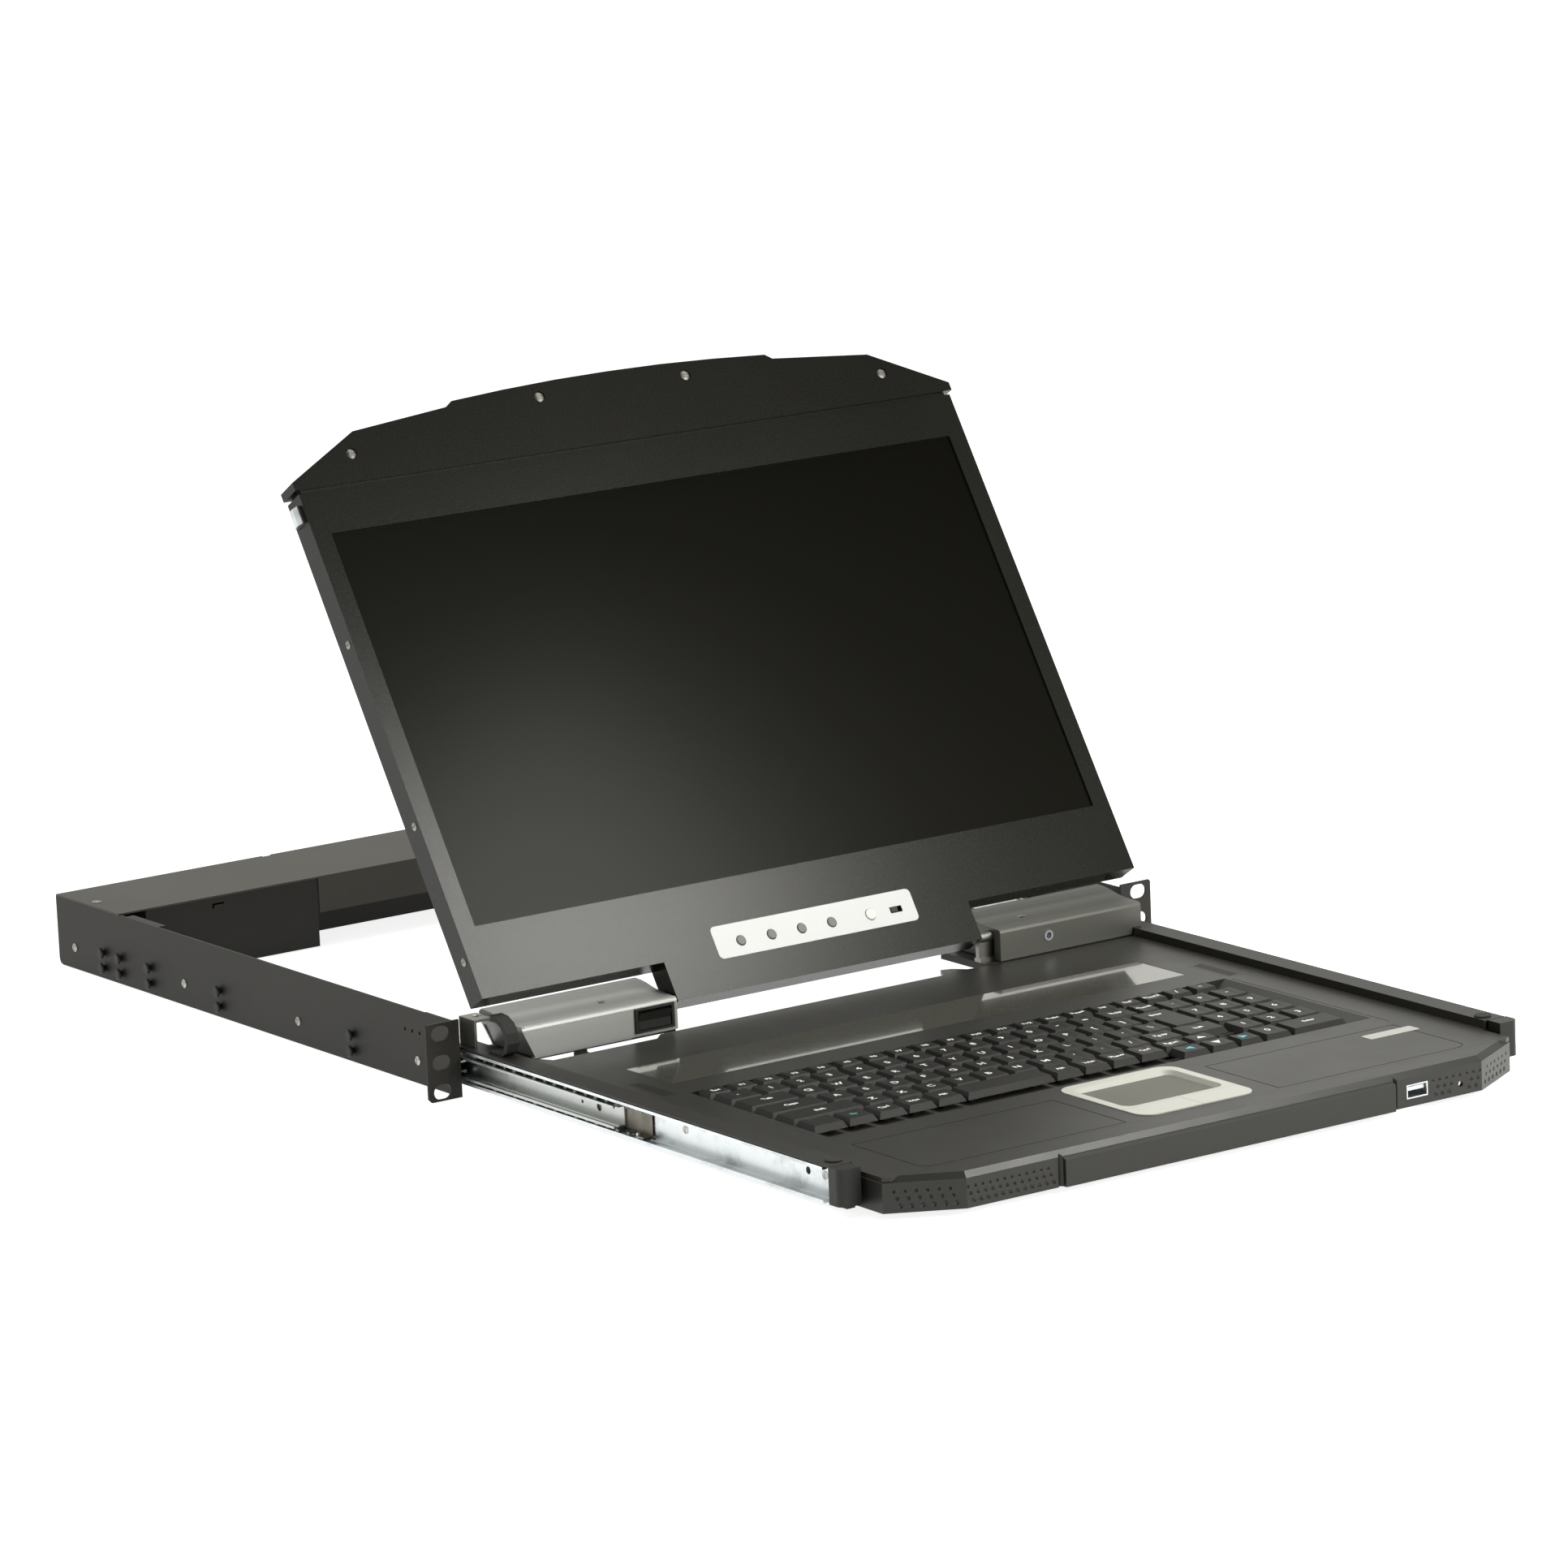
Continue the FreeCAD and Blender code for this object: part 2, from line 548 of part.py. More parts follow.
def rear_cover():
    """Top cover with a folded front skirt in the middle."""
    x = COVER_HALF_X
    y0 = REAR_FRONT_Y - 0.3
    y1 = CASE_DEPTH - 0.3
    n0, n1, deep = COVER_NOTCH
    top = plate([(-x, y0), (x, y0), (x, y1), (n1, y1), (n1, y1 - deep), (n0, y1 - deep), (n0, y1),
                 (-x, y1)], COVER_Z, COVER_Z + COVER_T)
    skirt = box(-REAR_STEP_X + 1, REAR_STEP_X - 1, y0, y0 + SHEET_T, COVER_SKIRT_Z, COVER_Z)
    lip = box(-REAR_STEP_X + 1, 0, y0, y0 + SHEET_T, COVER_LIP_Z, COVER_SKIRT_Z)
    body = fuse([top, skirt, lip])
    cuts = []
    for s in (-1, 1):
        cuts.append(rod(1.3, 4, (s * COVER_SCREW[0], COVER_SCREW[1], COVER_Z - 1), (0, 0, 1)))
    return body.cut(cuts)


def case_screws():
    """Screws through the side panels and the cover."""
    out = []
    for y in WALL_SCREW_Y:
        out += both(pan_head((WALL_OUT_X, y, WALL_SCREW_Z), (1, 0, 0), 2.5, 0.9, True, 1.1, 2.2))
    top = COVER_Z + COVER_T
    for s in (-1, 1):
        out.append(pan_head((s * COVER_SCREW[0], COVER_SCREW[1], top), (0, 0, 1), 2.8, 0.6))
    return out


def power_inlet():
    """Mains inlet with three blades in a recessed body."""
    x, z, w, h = INLET
    gap = 0.1
    y0 = CASE_DEPTH - 22
    pts = [(x - w / 2 + gap, z - h / 2 + 4), (x - w / 2 + 4, z - h / 2 + gap),
           (x + w / 2 - 4, z - h / 2 + gap), (x + w / 2 - gap, z - h / 2 + 4),
           (x + w / 2 - gap, z + h / 2 - gap), (x - w / 2 + gap, z + h / 2 - gap)]
    body = bar(pts, y0, CASE_DEPTH + 0.5)
    rim = box(x - w / 2 - 3, x + w / 2 + 3, CASE_DEPTH, CASE_DEPTH + 1.6, z - h / 2 - 2, z + h / 2 + 2)
    inner = [(x - 11.5, z - 4.5), (x - 8, z - 7.6), (x + 8, z - 7.6), (x + 11.5, z - 4.5),
             (x + 11.5, z + 7.6), (x - 11.5, z + 7.6)]
    body = fuse([body, rim]).cut(bar(inner, y0 + 3, CASE_DEPTH + 3))
    blades = []
    for dx, dz in ((-7, -1), (0, 3), (7, -1)):
        blades.append(box(x + dx - 1, x + dx + 1, y0 + 2, CASE_DEPTH - 2, z + dz - 2, z + dz + 2))
    return fuse([body] + blades)


def rear_connectors():
    """Video and data sockets on the back wall."""
    out = []
    x, z, w, h = VGA
    shell = bar([(x - 8.3, z + 4.1), (x + 8.3, z + 4.1), (x + 7.2, z - 4.1), (x - 7.2, z - 4.1)],
                CASE_DEPTH - 12, CASE_DEPTH + 5)
    hole = bar([(x - 7.6, z + 3.4), (x + 7.6, z + 3.4), (x + 6.6, z - 3.4), (x - 6.6, z - 3.4)],
               CASE_DEPTH - 1, CASE_DEPTH + 6)
    rim = box(x - 15, x + 15, CASE_DEPTH, CASE_DEPTH + 0.9, z - 6.2, z + 6.2)
    body = fuse([shell, rim]).cut(hole)
    nuts = [rod(2.4, 4, (x + s * 12.4, CASE_DEPTH + 0.5, z), (0, 1, 0)) for s in (-1, 1)]
    out.append(fuse([body] + nuts))
    x, z, w, h = USB_B
    shell = box(x - w / 2 + 0.1, x + w / 2 - 0.1, CASE_DEPTH - 14, CASE_DEPTH + 1,
                z - h / 2 + 0.1, z + h / 2 - 0.1)
    hole = box(x - 4.4, x + 4.4, CASE_DEPTH - 9, CASE_DEPTH + 2, z - 4, z + 4)
    tongue = box(x - 2.8, x + 2.8, CASE_DEPTH - 10, CASE_DEPTH - 1, z - 1.6, z + 1.6)
    out.append(fuse([shell.cut(hole), tongue]))
    return out


def rear_electronics():
    """Power supply and video boards on short posts inside the rear housing."""
    out = []
    z0 = WALL_BOTTOM_Z + SHEET_T
    y0, y1 = SUPPLY_BOARD_Y
    under, top = SUPPLY_BOARD_Z
    a, b = SUPPLY_BOARD_X
    for x0, x1 in ((-b, -a), (a, b)):
        board = box(x0, x1, y0, y1, under, top)
        posts = []
        for x in (x0 + 5, x1 - 5):
            for y in (y0 + 4, y1 - 4):
                posts.append(box(x - 2, x + 2, y - 2, y + 2, z0, under))
        blocks = [box(x0 + 12, x0 + 40, y0 + 6, y0 + 32, top, top + 21.4),
                  box(x0 + 52, x0 + 62, y0 + 8, y0 + 18, top, top + 17.4),
                  box(x0 + 70, x0 + 92, y0 + 4, y0 + 36, top, top + 5.4)]
        out.append(fuse([board] + posts + blocks))
    return out


# ---------------------------------------------------------------- slides
def c_section(web_in, web_out, tip, half_heights, toward):
    """Channel outline about the slide mid line: web between two x, flanges reaching to tip."""
    z = SLIDE_MID_Z
    high, low = half_heights
    a, b = (web_in, web_out) if toward > 0 else (web_out, web_in)
    return [(a, z - high), (tip, z - high), (tip, z - low), (b, z - low), (b, z + low),
            (tip, z + low), (tip, z + high), (a, z + high)]


def grooves(race, y0, y1):
    """Groove cutters for the upper and lower ball rows."""
    x, dz = race
    out = []
    for s in (-1, 1):
        out.append(rod(RACE_R, y1 - y0 + 2, (x, y0 - 1, SLIDE_MID_Z + s * dz), (0, 1, 0)))
    return out


def drawer_members():
    """Slide members screwed to the tray sides; the largest channels."""
    y0, y1 = DRAWER_MEMBER_Y
    body = bar(c_section(TRAY_SIDE_X, DRAWER_WEB_X, DRAWER_TIP_X, DRAWER_HALF_H, 1), y0, y1)
    body = body.cut(grooves(RACE_A, y0, y1))
    hole_y, hole_z, hole_r = ACCESS_HOLE
    cuts = [rod(hole_r, 4, (TRAY_SIDE_X - 1, hole_y, hole_z), (1, 0, 0))]
    for y in MEMBER_SCREW_Y:
        cuts.append(rod(MEMBER_HOLE_R, 4, (TRAY_SIDE_X - 1, y, MEMBER_SCREW_Z), (1, 0, 0)))
    return both(body.cut(cuts))


def middle_members():
    """Middle members, running inside the drawer members and over the case members."""
    y0, y1 = MIDDLE_MEMBER_Y
    body = bar(c_section(MIDDLE_WEB_X[0], MIDDLE_WEB_X[1], MIDDLE_TIP_X, MIDDLE_HALF_H, 1), y0, y1)
    body = body.cut(grooves(RACE_A, y0, y1) + grooves(RACE_B, y0, y1))
    cuts = [rod(r, 4, (MIDDLE_WEB_X[0] - 1, y, MIDDLE_HOLE_Z), (1, 0, 0)) for y, r in MIDDLE_HOLES]
    return both(body.cut(cuts))


def case_members():
    """Members screwed to the case walls; the smallest channels."""
    y0, y1 = CASE_MEMBER_Y
    body = bar(c_section(WALL_IN_X, CASE_WEB_X, CASE_TIP_X, CASE_HALF_H, 1), y0, y1)
    body = body.cut(grooves(RACE_B, y0, y1))
    cuts = []
    for y in WALL_SCREW_Y[:3]:
        cuts.append(rod(MEMBER_HOLE_R, 4, (CASE_WEB_X - 1, y, WALL_SCREW_Z), (1, 0, 0)))
    return both(body.cut(cuts))


def cage(race, web_x, span, width, lip):
    """Ball cage: thin channel with a row of windows along each edge, turned up in a lip."""
    x, dz = race
    y0, y1 = span
    z = SLIDE_MID_Z
    parts = [box(web_x, web_x + CAGE_T, y0, y1, z - dz, z + dz)]
    for s in (-1, 1):
        edge_z = z + s * dz
        parts.append(box(web_x, x + width, y0, y1, edge_z - CAGE_T / 2, edge_z + CAGE_T / 2))
        parts.append(box(x + width - CAGE_T, x + width, y0, y1, edge_z - lip, edge_z + lip))
    body = fuse(parts)
    half = CAGE_WINDOW_L / 2
    cuts = []
    for i in range(CAGE_WINDOWS):
        y = y0 + CAGE_END + i * CAGE_PITCH
        for s in (-1, 1):
            edge_z = z + s * dz
            cuts.append(box(x - RACE_R, x + width + 1, y - half, y + half, edge_z - 1, edge_z + 1))
    return both(body.cut(cuts))


def balls(race, span):
    """Balls in every second window of a cage."""
    x, dz = race
    out = []
    for i in range(0, CAGE_WINDOWS, BALL_EVERY):
        y = span[0] + CAGE_END + i * CAGE_PITCH
        for s in (-1, 1):
            out += both(Part.makeSphere(BALL_R, V(x, y, SLIDE_MID_Z + s * dz)))
    return out


# ---------------------------------------------------------------- drawer pieces
def drawer_tray():
    """Sheet tray: floor, walls, side flanges with a turned-down inner lip, and rear arms."""
    t = TRAY_T
    x = TRAY_SIDE_X
    sy0, sy1 = HINGE_SHELF_Y
    lip_z, under, top = HINGE_SHELF_Z
    lx0, lx1 = SHELF_LINK_X
    y0 = TRAY_FRONT_Y
    parts = [box(-x, x, y0, TRAY_REAR_Y, TRAY_FLOOR_Z, TRAY_FLOOR_Z + t)]
    parts.append(box(-x, x, y0, y0 + t, TRAY_FLOOR_Z, DECK_UNDER_Z))
    parts.append(box(-x, x, TRAY_REAR_Y - t, TRAY_REAR_Y, TRAY_FLOOR_Z, DECK_UNDER_Z))
    for s in (-1, 1):
        side = []
        side.append((s * (x - t), s * x, y0, ARM_REAR_Y, TRAY_FLOOR_Z, FLANGE_TOP_Z))
        side.append((s * FLANGE_IN_X, s * FLANGE_OUT_X, y0 + 0.2, FLANGE_REAR_Y,
                     FLANGE_TOP_Z - t, FLANGE_TOP_Z))
        side.append((s * FLANGE_IN_X, s * (FLANGE_IN_X + t), y0 + 0.2, LIP_REAR_Y, DECK_Z, FLANGE_TOP_Z))
        side.append((s * HINGE_SHELF_X, s * x, sy0, sy1, under, top))
        side.append((s * HINGE_SHELF_X, s * (HINGE_SHELF_X + t), sy0, sy1, lip_z, top))
        side.append((s * lx0, s * lx1, TRAY_REAR_Y - t, sy0 + t, DECK_UNDER_Z - t, DECK_UNDER_Z))
        side.append((s * lx0, s * lx1, sy0, sy0 + t, DECK_UNDER_Z - t, top))
        for a, b, c, d, e, f in side:
            parts.append(box(min(a, b), max(a, b), c, d, e, f))
    h = BOARD_POST / 2
    for px in BOARD_POST_X:
        for py in BOARD_POST_Y:
            parts.append(box(px - h, px + h, py - h, py + h, TRAY_FLOOR_Z, BOARD_Z))
    body = fuse(parts)
    cuts = []
    for s in (-1, 1):
        a, b = sorted((s * (x - 2), s * (x + 1)))
        for y in MEMBER_SCREW_Y:
            cuts.append(box(a, b, y - MEMBER_HOLE_R, y + MEMBER_HOLE_R,
                            MEMBER_SCREW_Z - MEMBER_HOLE_R, MEMBER_SCREW_Z + MEMBER_HOLE_R))
    half = FLOOR_SLOT_HALF_L
    for px in FLOOR_SLOT_X:
        for y0, y1 in FLOOR_SLOT_Y:
            cuts.append(box(px - half, px + half, y0, y1, TRAY_FLOOR_Z - 1, TRAY_FLOOR_Z + t + 1))
    return body.cut(cuts)


def deck_outline():
    """Outline of the moulded deck, stepped at the back and front."""
    x = DECK_SIDE_X
    xf = FASCIA_SIDE_X - 0.2
    y = DECK_FRONT_Y
    right = [(198.0, y), (xf, -354.8), (xf, TRAY_FRONT_Y + 0.4), (x, TRAY_FRONT_Y + 0.4), (x, -32.4),
             (103.2, -32.4)]
    mid = [(90.0, -31.0), (84.0, -24.0), (78.0, -22.0), (72.0, -33.0), (-115.0, -33.0), (-122.0, -40.0),
           (-188.0, -40.0), (-192.0, -32.4)]
    left = [(-x, -32.4), (-x, TRAY_FRONT_Y + 0.4), (-xf, TRAY_FRONT_Y + 0.4), (-xf, -354.8), (-198.0, y)]
    return right + mid + left


def deck():
    """Moulded deck with the keyboard recess and the seats for window, grilles and touchpad."""
    body = plate(deck_outline(), DECK_UNDER_Z, DECK_Z)
    x0, x1 = RECESS_X
    y0, y1 = RECESS_Y
    ring = box(x0 - 2, x1 + 2, y0 - 2, y1 + 2, PLATE_TOP_Z, DECK_Z)
    body = body.fuse(ring)
    mouth = bar([(x0, PLATE_TOP_Z - 1), (RECESS_BEVEL_X, PLATE_TOP_Z - 1), (RECESS_BEVEL_X, PLATE_TOP_Z),
                 (x1, DECK_Z), (x1, DECK_Z + 1), (x0, DECK_Z + 1)], y0, y1)
    cuts = [mouth]
    wx0, wx1 = WINDOW_X
    wy0, wy1 = WINDOW_Y
    cuts.append(box(wx0, wx1, wy0, wy1, DECK_LEDGE_Z, DECK_Z + 1))
    cuts.append(box(wx0 + 3, wx1 - 3, wy0 + 3, wy1 - 3, DECK_UNDER_Z - 1, DECK_Z + 1))
    g0, g1 = GRILLE_X
    h0, h1 = GRILLE_Y
    for s in (-1, 1):
        a, b = sorted((s * g0, s * g1))
        cuts.append(box(a, b, h0, h1, DECK_LEDGE_Z, DECK_Z + 1))
        cuts.append(box(a + 1, b - 1, h0 + 1, h1 - 1, DECK_UNDER_Z - 1, DECK_Z + 1))
        a, b = sorted((s * PALM_X[0], s * PALM_X[1]))
        corners = (1, 0, 0, 0) if s < 0 else (0, 1, 0, 0)
        outer = rounded(a, b, PALM_Y[0], PALM_Y[1], PALM_R, DECK_Z - 0.3, DECK_Z + 1, corners)
        inner = rounded(a + 0.6, b - 0.6, PALM_Y[0] + 0.6, PALM_Y[1] - 0.6, PALM_R - 0.6,
                        DECK_Z - 1, DECK_Z + 2, corners)
        cuts.append(outer.cut(inner))
        a, b = sorted((s * CREASE_X, s * (CREASE_X + 0.8)))
        crease = [(a, DECK_Z), ((a + b) / 2, DECK_Z - 0.35), (b, DECK_Z), (b, DECK_Z + 1), (a, DECK_Z + 1)]
        cuts.append(bar(crease, -285, -150 if s < 0 else -152))
    f0, f1 = PAD_FRAME_Y
    cuts.append(rounded(-PAD_FRAME_X, PAD_FRAME_X, f0, f1, PAD_FRAME_R, DECK_LEDGE_Z, DECK_Z + 1))
    cuts.append(box(-PAD_FRAME_X + 3, PAD_FRAME_X - 3, f0 + 3, f1 - 3, DECK_UNDER_Z - 1, DECK_Z + 1))
    return body.cut(cuts)


def dimple(x, y, z, nx, ny, r):
    """Conical dimple cutter on a front face with outward normal (nx, ny)."""
    n = V(nx, ny, 0)
    at = V(x, y, z) - n * DIMPLE_DEPTH
    return Part.makeCone(r * 0.3, r * 1.2, DIMPLE_DEPTH * 1.3, at, n)


def dimple_field():
    """Three slanting rows of dimples on each grip, smallest at the top, clear of the sockets."""
    (cx, cy), (dx, dy) = FASCIA_CHAMFER
    ux = (cx - dx) / math.hypot(cx - dx, cy - dy)
    uy = (cy - dy) / math.hypot(cx - dx, cy - dy)
    rx, rz, _ = RESET_HOLE
    out = []
    for z, r, shift in DIMPLE_ROWS:
        for k in range(DIMPLES_FRONT):
            x = DIMPLE_FIRST_X + k * DIMPLE_PITCH + shift
            out.append(dimple(-x, GRIP_FRONT_Y, z, 0, -1, r))
            near_hole = abs(x - rx) < 4 and abs(z - rz) < 4
            if x > USB_X + USB_SIZE[0] / 2 + 3 and not near_hole:
                out.append(dimple(x, GRIP_FRONT_Y, z, 0, -1, r))
        for k in range(DIMPLES_CHAMFER):
            d = 6.5 + shift + k * CHAMFER_PITCH
            for s in (-1, 1):
                out.append(dimple(s * (dx + ux * d), dy + uy * d, z, s * uy, -ux, r))
    return out


def front_fascia():
    """Front moulding: two chamfered grips with dimples and a proud centre handle."""
    t = 2.2
    z0 = TRAY_FLOOR_Z
    (cx, cy), (dx, dy) = FASCIA_CHAMFER
    back = TRAY_FRONT_Y
    outer = [(cx, back), (cx, cy), (dx, dy), (-dx, dy), (-cx, cy), (-cx, back)]
    lower = plate(outer, z0, GRIP_TOP_Z)
    b = 3.0
    top = [(cx - b, back), (cx - b, cy + 1.4), (dx - 0.9, dy + b), (-dx + 0.9, dy + b),
           (-cx + b, cy + 1.4), (-cx + b, back)]
    w0 = Part.makePolygon([V(x, y, GRIP_TOP_Z) for x, y in outer + outer[:1]])
    w1 = Part.makePolygon([V(x, y, DECK_Z) for x, y in top + top[:1]])
    slope = Part.makeLoft([w0, w1], True, True)
    body = lower.fuse(slope)
    nose = prism([(back - 30, z0), (HANDLE_FRONT_Y, z0), (HANDLE_FRONT_Y, 18.0), (-368.5, DECK_Z),
                  (back - 30, DECK_Z)], -HANDLE_HALF_X, HANDLE_HALF_X)
    cuts = []
    for s in (-1, 1):
        x_a, x_b = s * HANDLE_HALF_X, s * GROOVE_OUT_X
        pts = [(x_a, HANDLE_FRONT_Y - 1), (x_b, HANDLE_FRONT_Y - 1), (x_b, GRIP_FRONT_Y),
               ((x_a + x_b) / 2, GRIP_FRONT_Y + 1.6), (x_a, GRIP_FRONT_Y)]
        cuts.append(plate(pts, z0 - 1, DECK_Z + 1))
    body = fuse([body.cut(cuts), nose])
    hollow = [(cx - t, back + 1), (cx - t, cy + 1.2), (dx - 1.2, dy + t), (-dx + 1.2, dy + t),
              (-cx + t, cy + 1.2), (-cx + t, back + 1)]
    room = plate(hollow, z0 - 1, DECK_UNDER_Z)
    bevel = box(-cx, cx, GRIP_FRONT_Y - 1, GRIP_FRONT_Y + 5.5, 17.6, 30)
    seat_pts = [(198.2, DECK_FRONT_Y - 0.1), (202.5, -354.6), (202.5, back + 1), (-202.5, back + 1),
                (-202.5, -354.6), (-198.2, DECK_FRONT_Y - 0.1)]
    seat = plate(seat_pts, DECK_UNDER_Z, DECK_Z + 1)
    body = body.cut([room.cut(bevel), seat])
    w, h = USB_SIZE
    holes = [box(USB_X - w / 2, USB_X + w / 2, GRIP_FRONT_Y - 1, GRIP_FRONT_Y + 4,
                 USB_Z - h / 2, USB_Z + h / 2)]
    rx, rz, rr = RESET_HOLE
    holes.append(rod(rr, 5, (rx, GRIP_FRONT_Y - 1, rz), (0, 1, 0)))
    return body.cut(holes + dimple_field())


def usb_socket():
    """Front socket: thin shell with a tongue."""
    w, h = USB_SIZE
    y0 = GRIP_FRONT_Y - 0.3
    shell = box(USB_X - w / 2, USB_X + w / 2, y0, y0 + 14, USB_Z - h / 2, USB_Z + h / 2)
    mouth = box(USB_X - w / 2 + 0.7, USB_X + w / 2 - 0.7, y0 - 1, y0 + 12.5,
                USB_Z - h / 2 + 0.7, USB_Z + h / 2 - 0.7)
    tongue = box(USB_X - 5.6, USB_X + 5.6, y0 + 1.5, y0 + 13, USB_Z + 0.2, USB_Z + 2.2)
    foot = box(USB_X - w / 2, USB_X + w / 2, y0 + 3, y0 + 14, TRAY_FLOOR_Z + 0.3, USB_Z - h / 2)
    return fuse([shell.cut(mouth), tongue, foot])


def service_jack():
    """Small round socket in the right hinge cover."""
    y0 = BOX_FRONT_Y - 0.5
    body = rod(3.0, 9, (JACK_X, y0, JACK_Z), (0, 1, 0))
    return body.cut(rod(1.7, 8, (JACK_X, y0 - 1, JACK_Z), (0, 1, 0)))


def corner_blocks():
    """Guide blocks on the front corners of the tray."""
    x0, x1 = BLOCK_X
    y0, y1 = BLOCK_Y
    body = rounded(x0, x1, y0, y1, 4.0, BLOCK_Z[0], BLOCK_Z[1], (0, 1, 0, 0))
    catch = box(x0 + 2, x0 + 7, y0 + 3, y1, 5.6, BLOCK_Z[0])
    return both(fuse([body, catch]))


def rest_pads():
    """Soft pads on the flanges that the closed screen comes down on."""
    profile = [V(0, 0, FLANGE_TOP_Z), V(PAD_R, 0, FLANGE_TOP_Z), V(PAD_R, 0, PAD_TOP_Z - 0.3),
               V(PAD_R - 0.6, 0, PAD_TOP_Z), V(0, 0, PAD_TOP_Z), V(0, 0, FLANGE_TOP_Z)]
    pad = Part.Face(Part.makePolygon(profile)).revolve(V(0, 0, 0), V(0, 0, 1), 360)
    pad.translate(V(PAD_X, PAD_Y, 0))
    return both(pad)


def indicator_window():
    """Smoked window let into the deck behind the keys."""
    g = 0.15
    x0, x1 = WINDOW_X
    y0, y1 = WINDOW_Y
    return box(x0 + g, x1 - g, y0 + g, y1 - g, DECK_LEDGE_Z, DECK_Z - 0.1)


def speaker_grilles():
    """Two grille strips with slanting slots."""
    g = 0.15
    x0, x1 = GRILLE_X
    y0, y1 = GRILLE_Y
    body = box(x0 + g, x1 - g, y0 + g, y1 - g, DECK_LEDGE_Z, DECK_Z)
    cuts = []
    for k in range(GRILLE_SLOTS):
        y = y0 + 1.6 + k * GRILLE_PITCH
        pts = [(x0 + 1.4, y), (x1 - 1.4, y + 1.6), (x1 - 1.4, y + 1.6 + GRILLE_SLOT_W),
               (x0 + 1.4, y + GRILLE_SLOT_W)]
        cuts.append(plate(pts, DECK_LEDGE_Z - 1, DECK_Z + 1))
    return both(body.cut(cuts))


def touchpad_bezel():
    """Frame round the sunken touch surface, with its tub and a shelf under the buttons."""
    f0, f1 = PAD_FRAME_Y
    x = PAD_FRAME_X - PAD_GAP
    r = PAD_FRAME_R - PAD_GAP
    frame = rounded(-x, x, f0 + PAD_GAP, f1 - PAD_GAP, r, DECK_LEDGE_Z, PAD_FRAME_TOP)
    m0, m1 = MOUTH_Y
    tub = rounded(-MOUTH_X, MOUTH_X, m0, m1, MOUTH_R, TUB_FLOOR_Z - TUB_FLOOR_T, DECK_LEDGE_Z + 0.5)
    top = round_wire(-MOUTH_X, MOUTH_X, m0, m1, MOUTH_R, PAD_FRAME_TOP)
    k = MOUTH_LEAN
    bottom = round_wire(-MOUTH_X + k, MOUTH_X - k, m0 + k, m1 - k, MOUTH_R - k, TUB_FLOOR_Z)
    mouth = Part.makeLoft([bottom, top], True, True)
    band = box(-PAD_FRAME_X, PAD_FRAME_X, f0, BUTTON_Y[1] + BUTTON_CLEAR, SHELF_TOP_Z, PAD_FRAME_TOP + 1)
    holes = []
    h = BUTTON_STEM / 2 + BUTTON_CLEAR
    for s in (-1, 1):
        sx = s * BUTTON_STEM_X
        holes.append(box(sx - h, sx + h, BUTTON_STEM_Y - h, BUTTON_STEM_Y + h, DECK_UNDER_Z, SHELF_TOP_Z + 1))
    return fuse([frame, tub]).cut([mouth, band] + holes)


def touch_surface():
    """Touch surface on the floor of the recess."""
    k = MOUTH_LEAN + 0.2
    m0, m1 = MOUTH_Y
    return rounded(-MOUTH_X + k, MOUTH_X - k, m0 + k, m1 - k, MOUTH_R - k, TUB_FLOOR_Z, TOUCH_Z)


def touch_button(side):
    """One of the two buttons that make the front band of the frame, on a stem."""
    x = PAD_FRAME_X - BUTTON_CLEAR
    inner = BUTTON_SPLIT_X + side * BUTTON_CLEAR / 2
    x0, x1 = (-x, inner) if side < 0 else (inner, x)
    corners = (1, 0, 0, 0) if side < 0 else (0, 1, 0, 0)
    cap = rounded(x0, x1, BUTTON_Y[0], BUTTON_Y[1], PAD_FRAME_R - BUTTON_CLEAR, BUTTON_UNDER_Z,
                  PAD_FRAME_TOP, corners)
    sx = side * BUTTON_STEM_X
    h = BUTTON_STEM / 2
    stem = box(sx - h, sx + h, BUTTON_STEM_Y - h, BUTTON_STEM_Y + h, DECK_LEDGE_Z - 0.3, BUTTON_UNDER_Z + 0.4)
    return fuse([cap, stem])


# ---------------------------------------------------------------- keys
def edges_from(first, centres, last):
    """Key spans along a row from centres one unit apart, with given outer edges."""
    spans = [(first, centres[0] - UNIT / 2)] if first is not None else []
    for c in centres:
        spans.append((c - UNIT / 2, c + UNIT / 2))
    edge = centres[-1] + UNIT / 2
    for x in last:
        spans.append((edge, x))
        edge = x
    return spans


MAIN_LEFT = -172.0
MAIN_RIGHT = 110.2
ROW_DEPTH = UNIT
F_Y = -156.0
F_DEPTH = 13.6
F_PITCH = 16.75
F_FIRST_X = -164.0
F_KEYS = 20
NUMBER_Y = -172.0
UPPER_Y = NUMBER_Y - UNIT
HOME_Y = UPPER_Y - UNIT
LOWER_Y = HOME_Y - UNIT
BOTTOM_Y = -246.0
BOTTOM_DEPTH = 18.2
ARROW_X = (55.8, 74.9, 93.6)  # edges of the small keys right of the bottom row
ARROW_REAR = (-244.2, 14.6)   # centre and depth of their rear rank
ARROW_FRONT = (-259.3, 15.2)
NUMBER_FIRST_X = -139.8       # centres of the first one unit key of each row
UPPER_FIRST_X = -129.2
HOME_FIRST_X = -124.6
LOWER_FIRST_X = -115.3
BACKSPACE_END_X = 95.4
RIGHT_SHIFT_X = 82.3
ENTER_X = 88.5                # left edge of the enter key, and of its wider head
ENTER_HEAD_X = 83.9
PAD_COLUMNS = (119.5, 138.0, 156.5)
PAD_KEY_W = 18.4
PAD_ROWS = (-176.9, -197.1, -217.3, -237.5, -257.7)
PAD_DEPTH = 19.6
PAD_ZERO = (110.3, 129.0)     # the two wide keys in front of the keypad
PAD_ENTER = (129.0, 165.7)


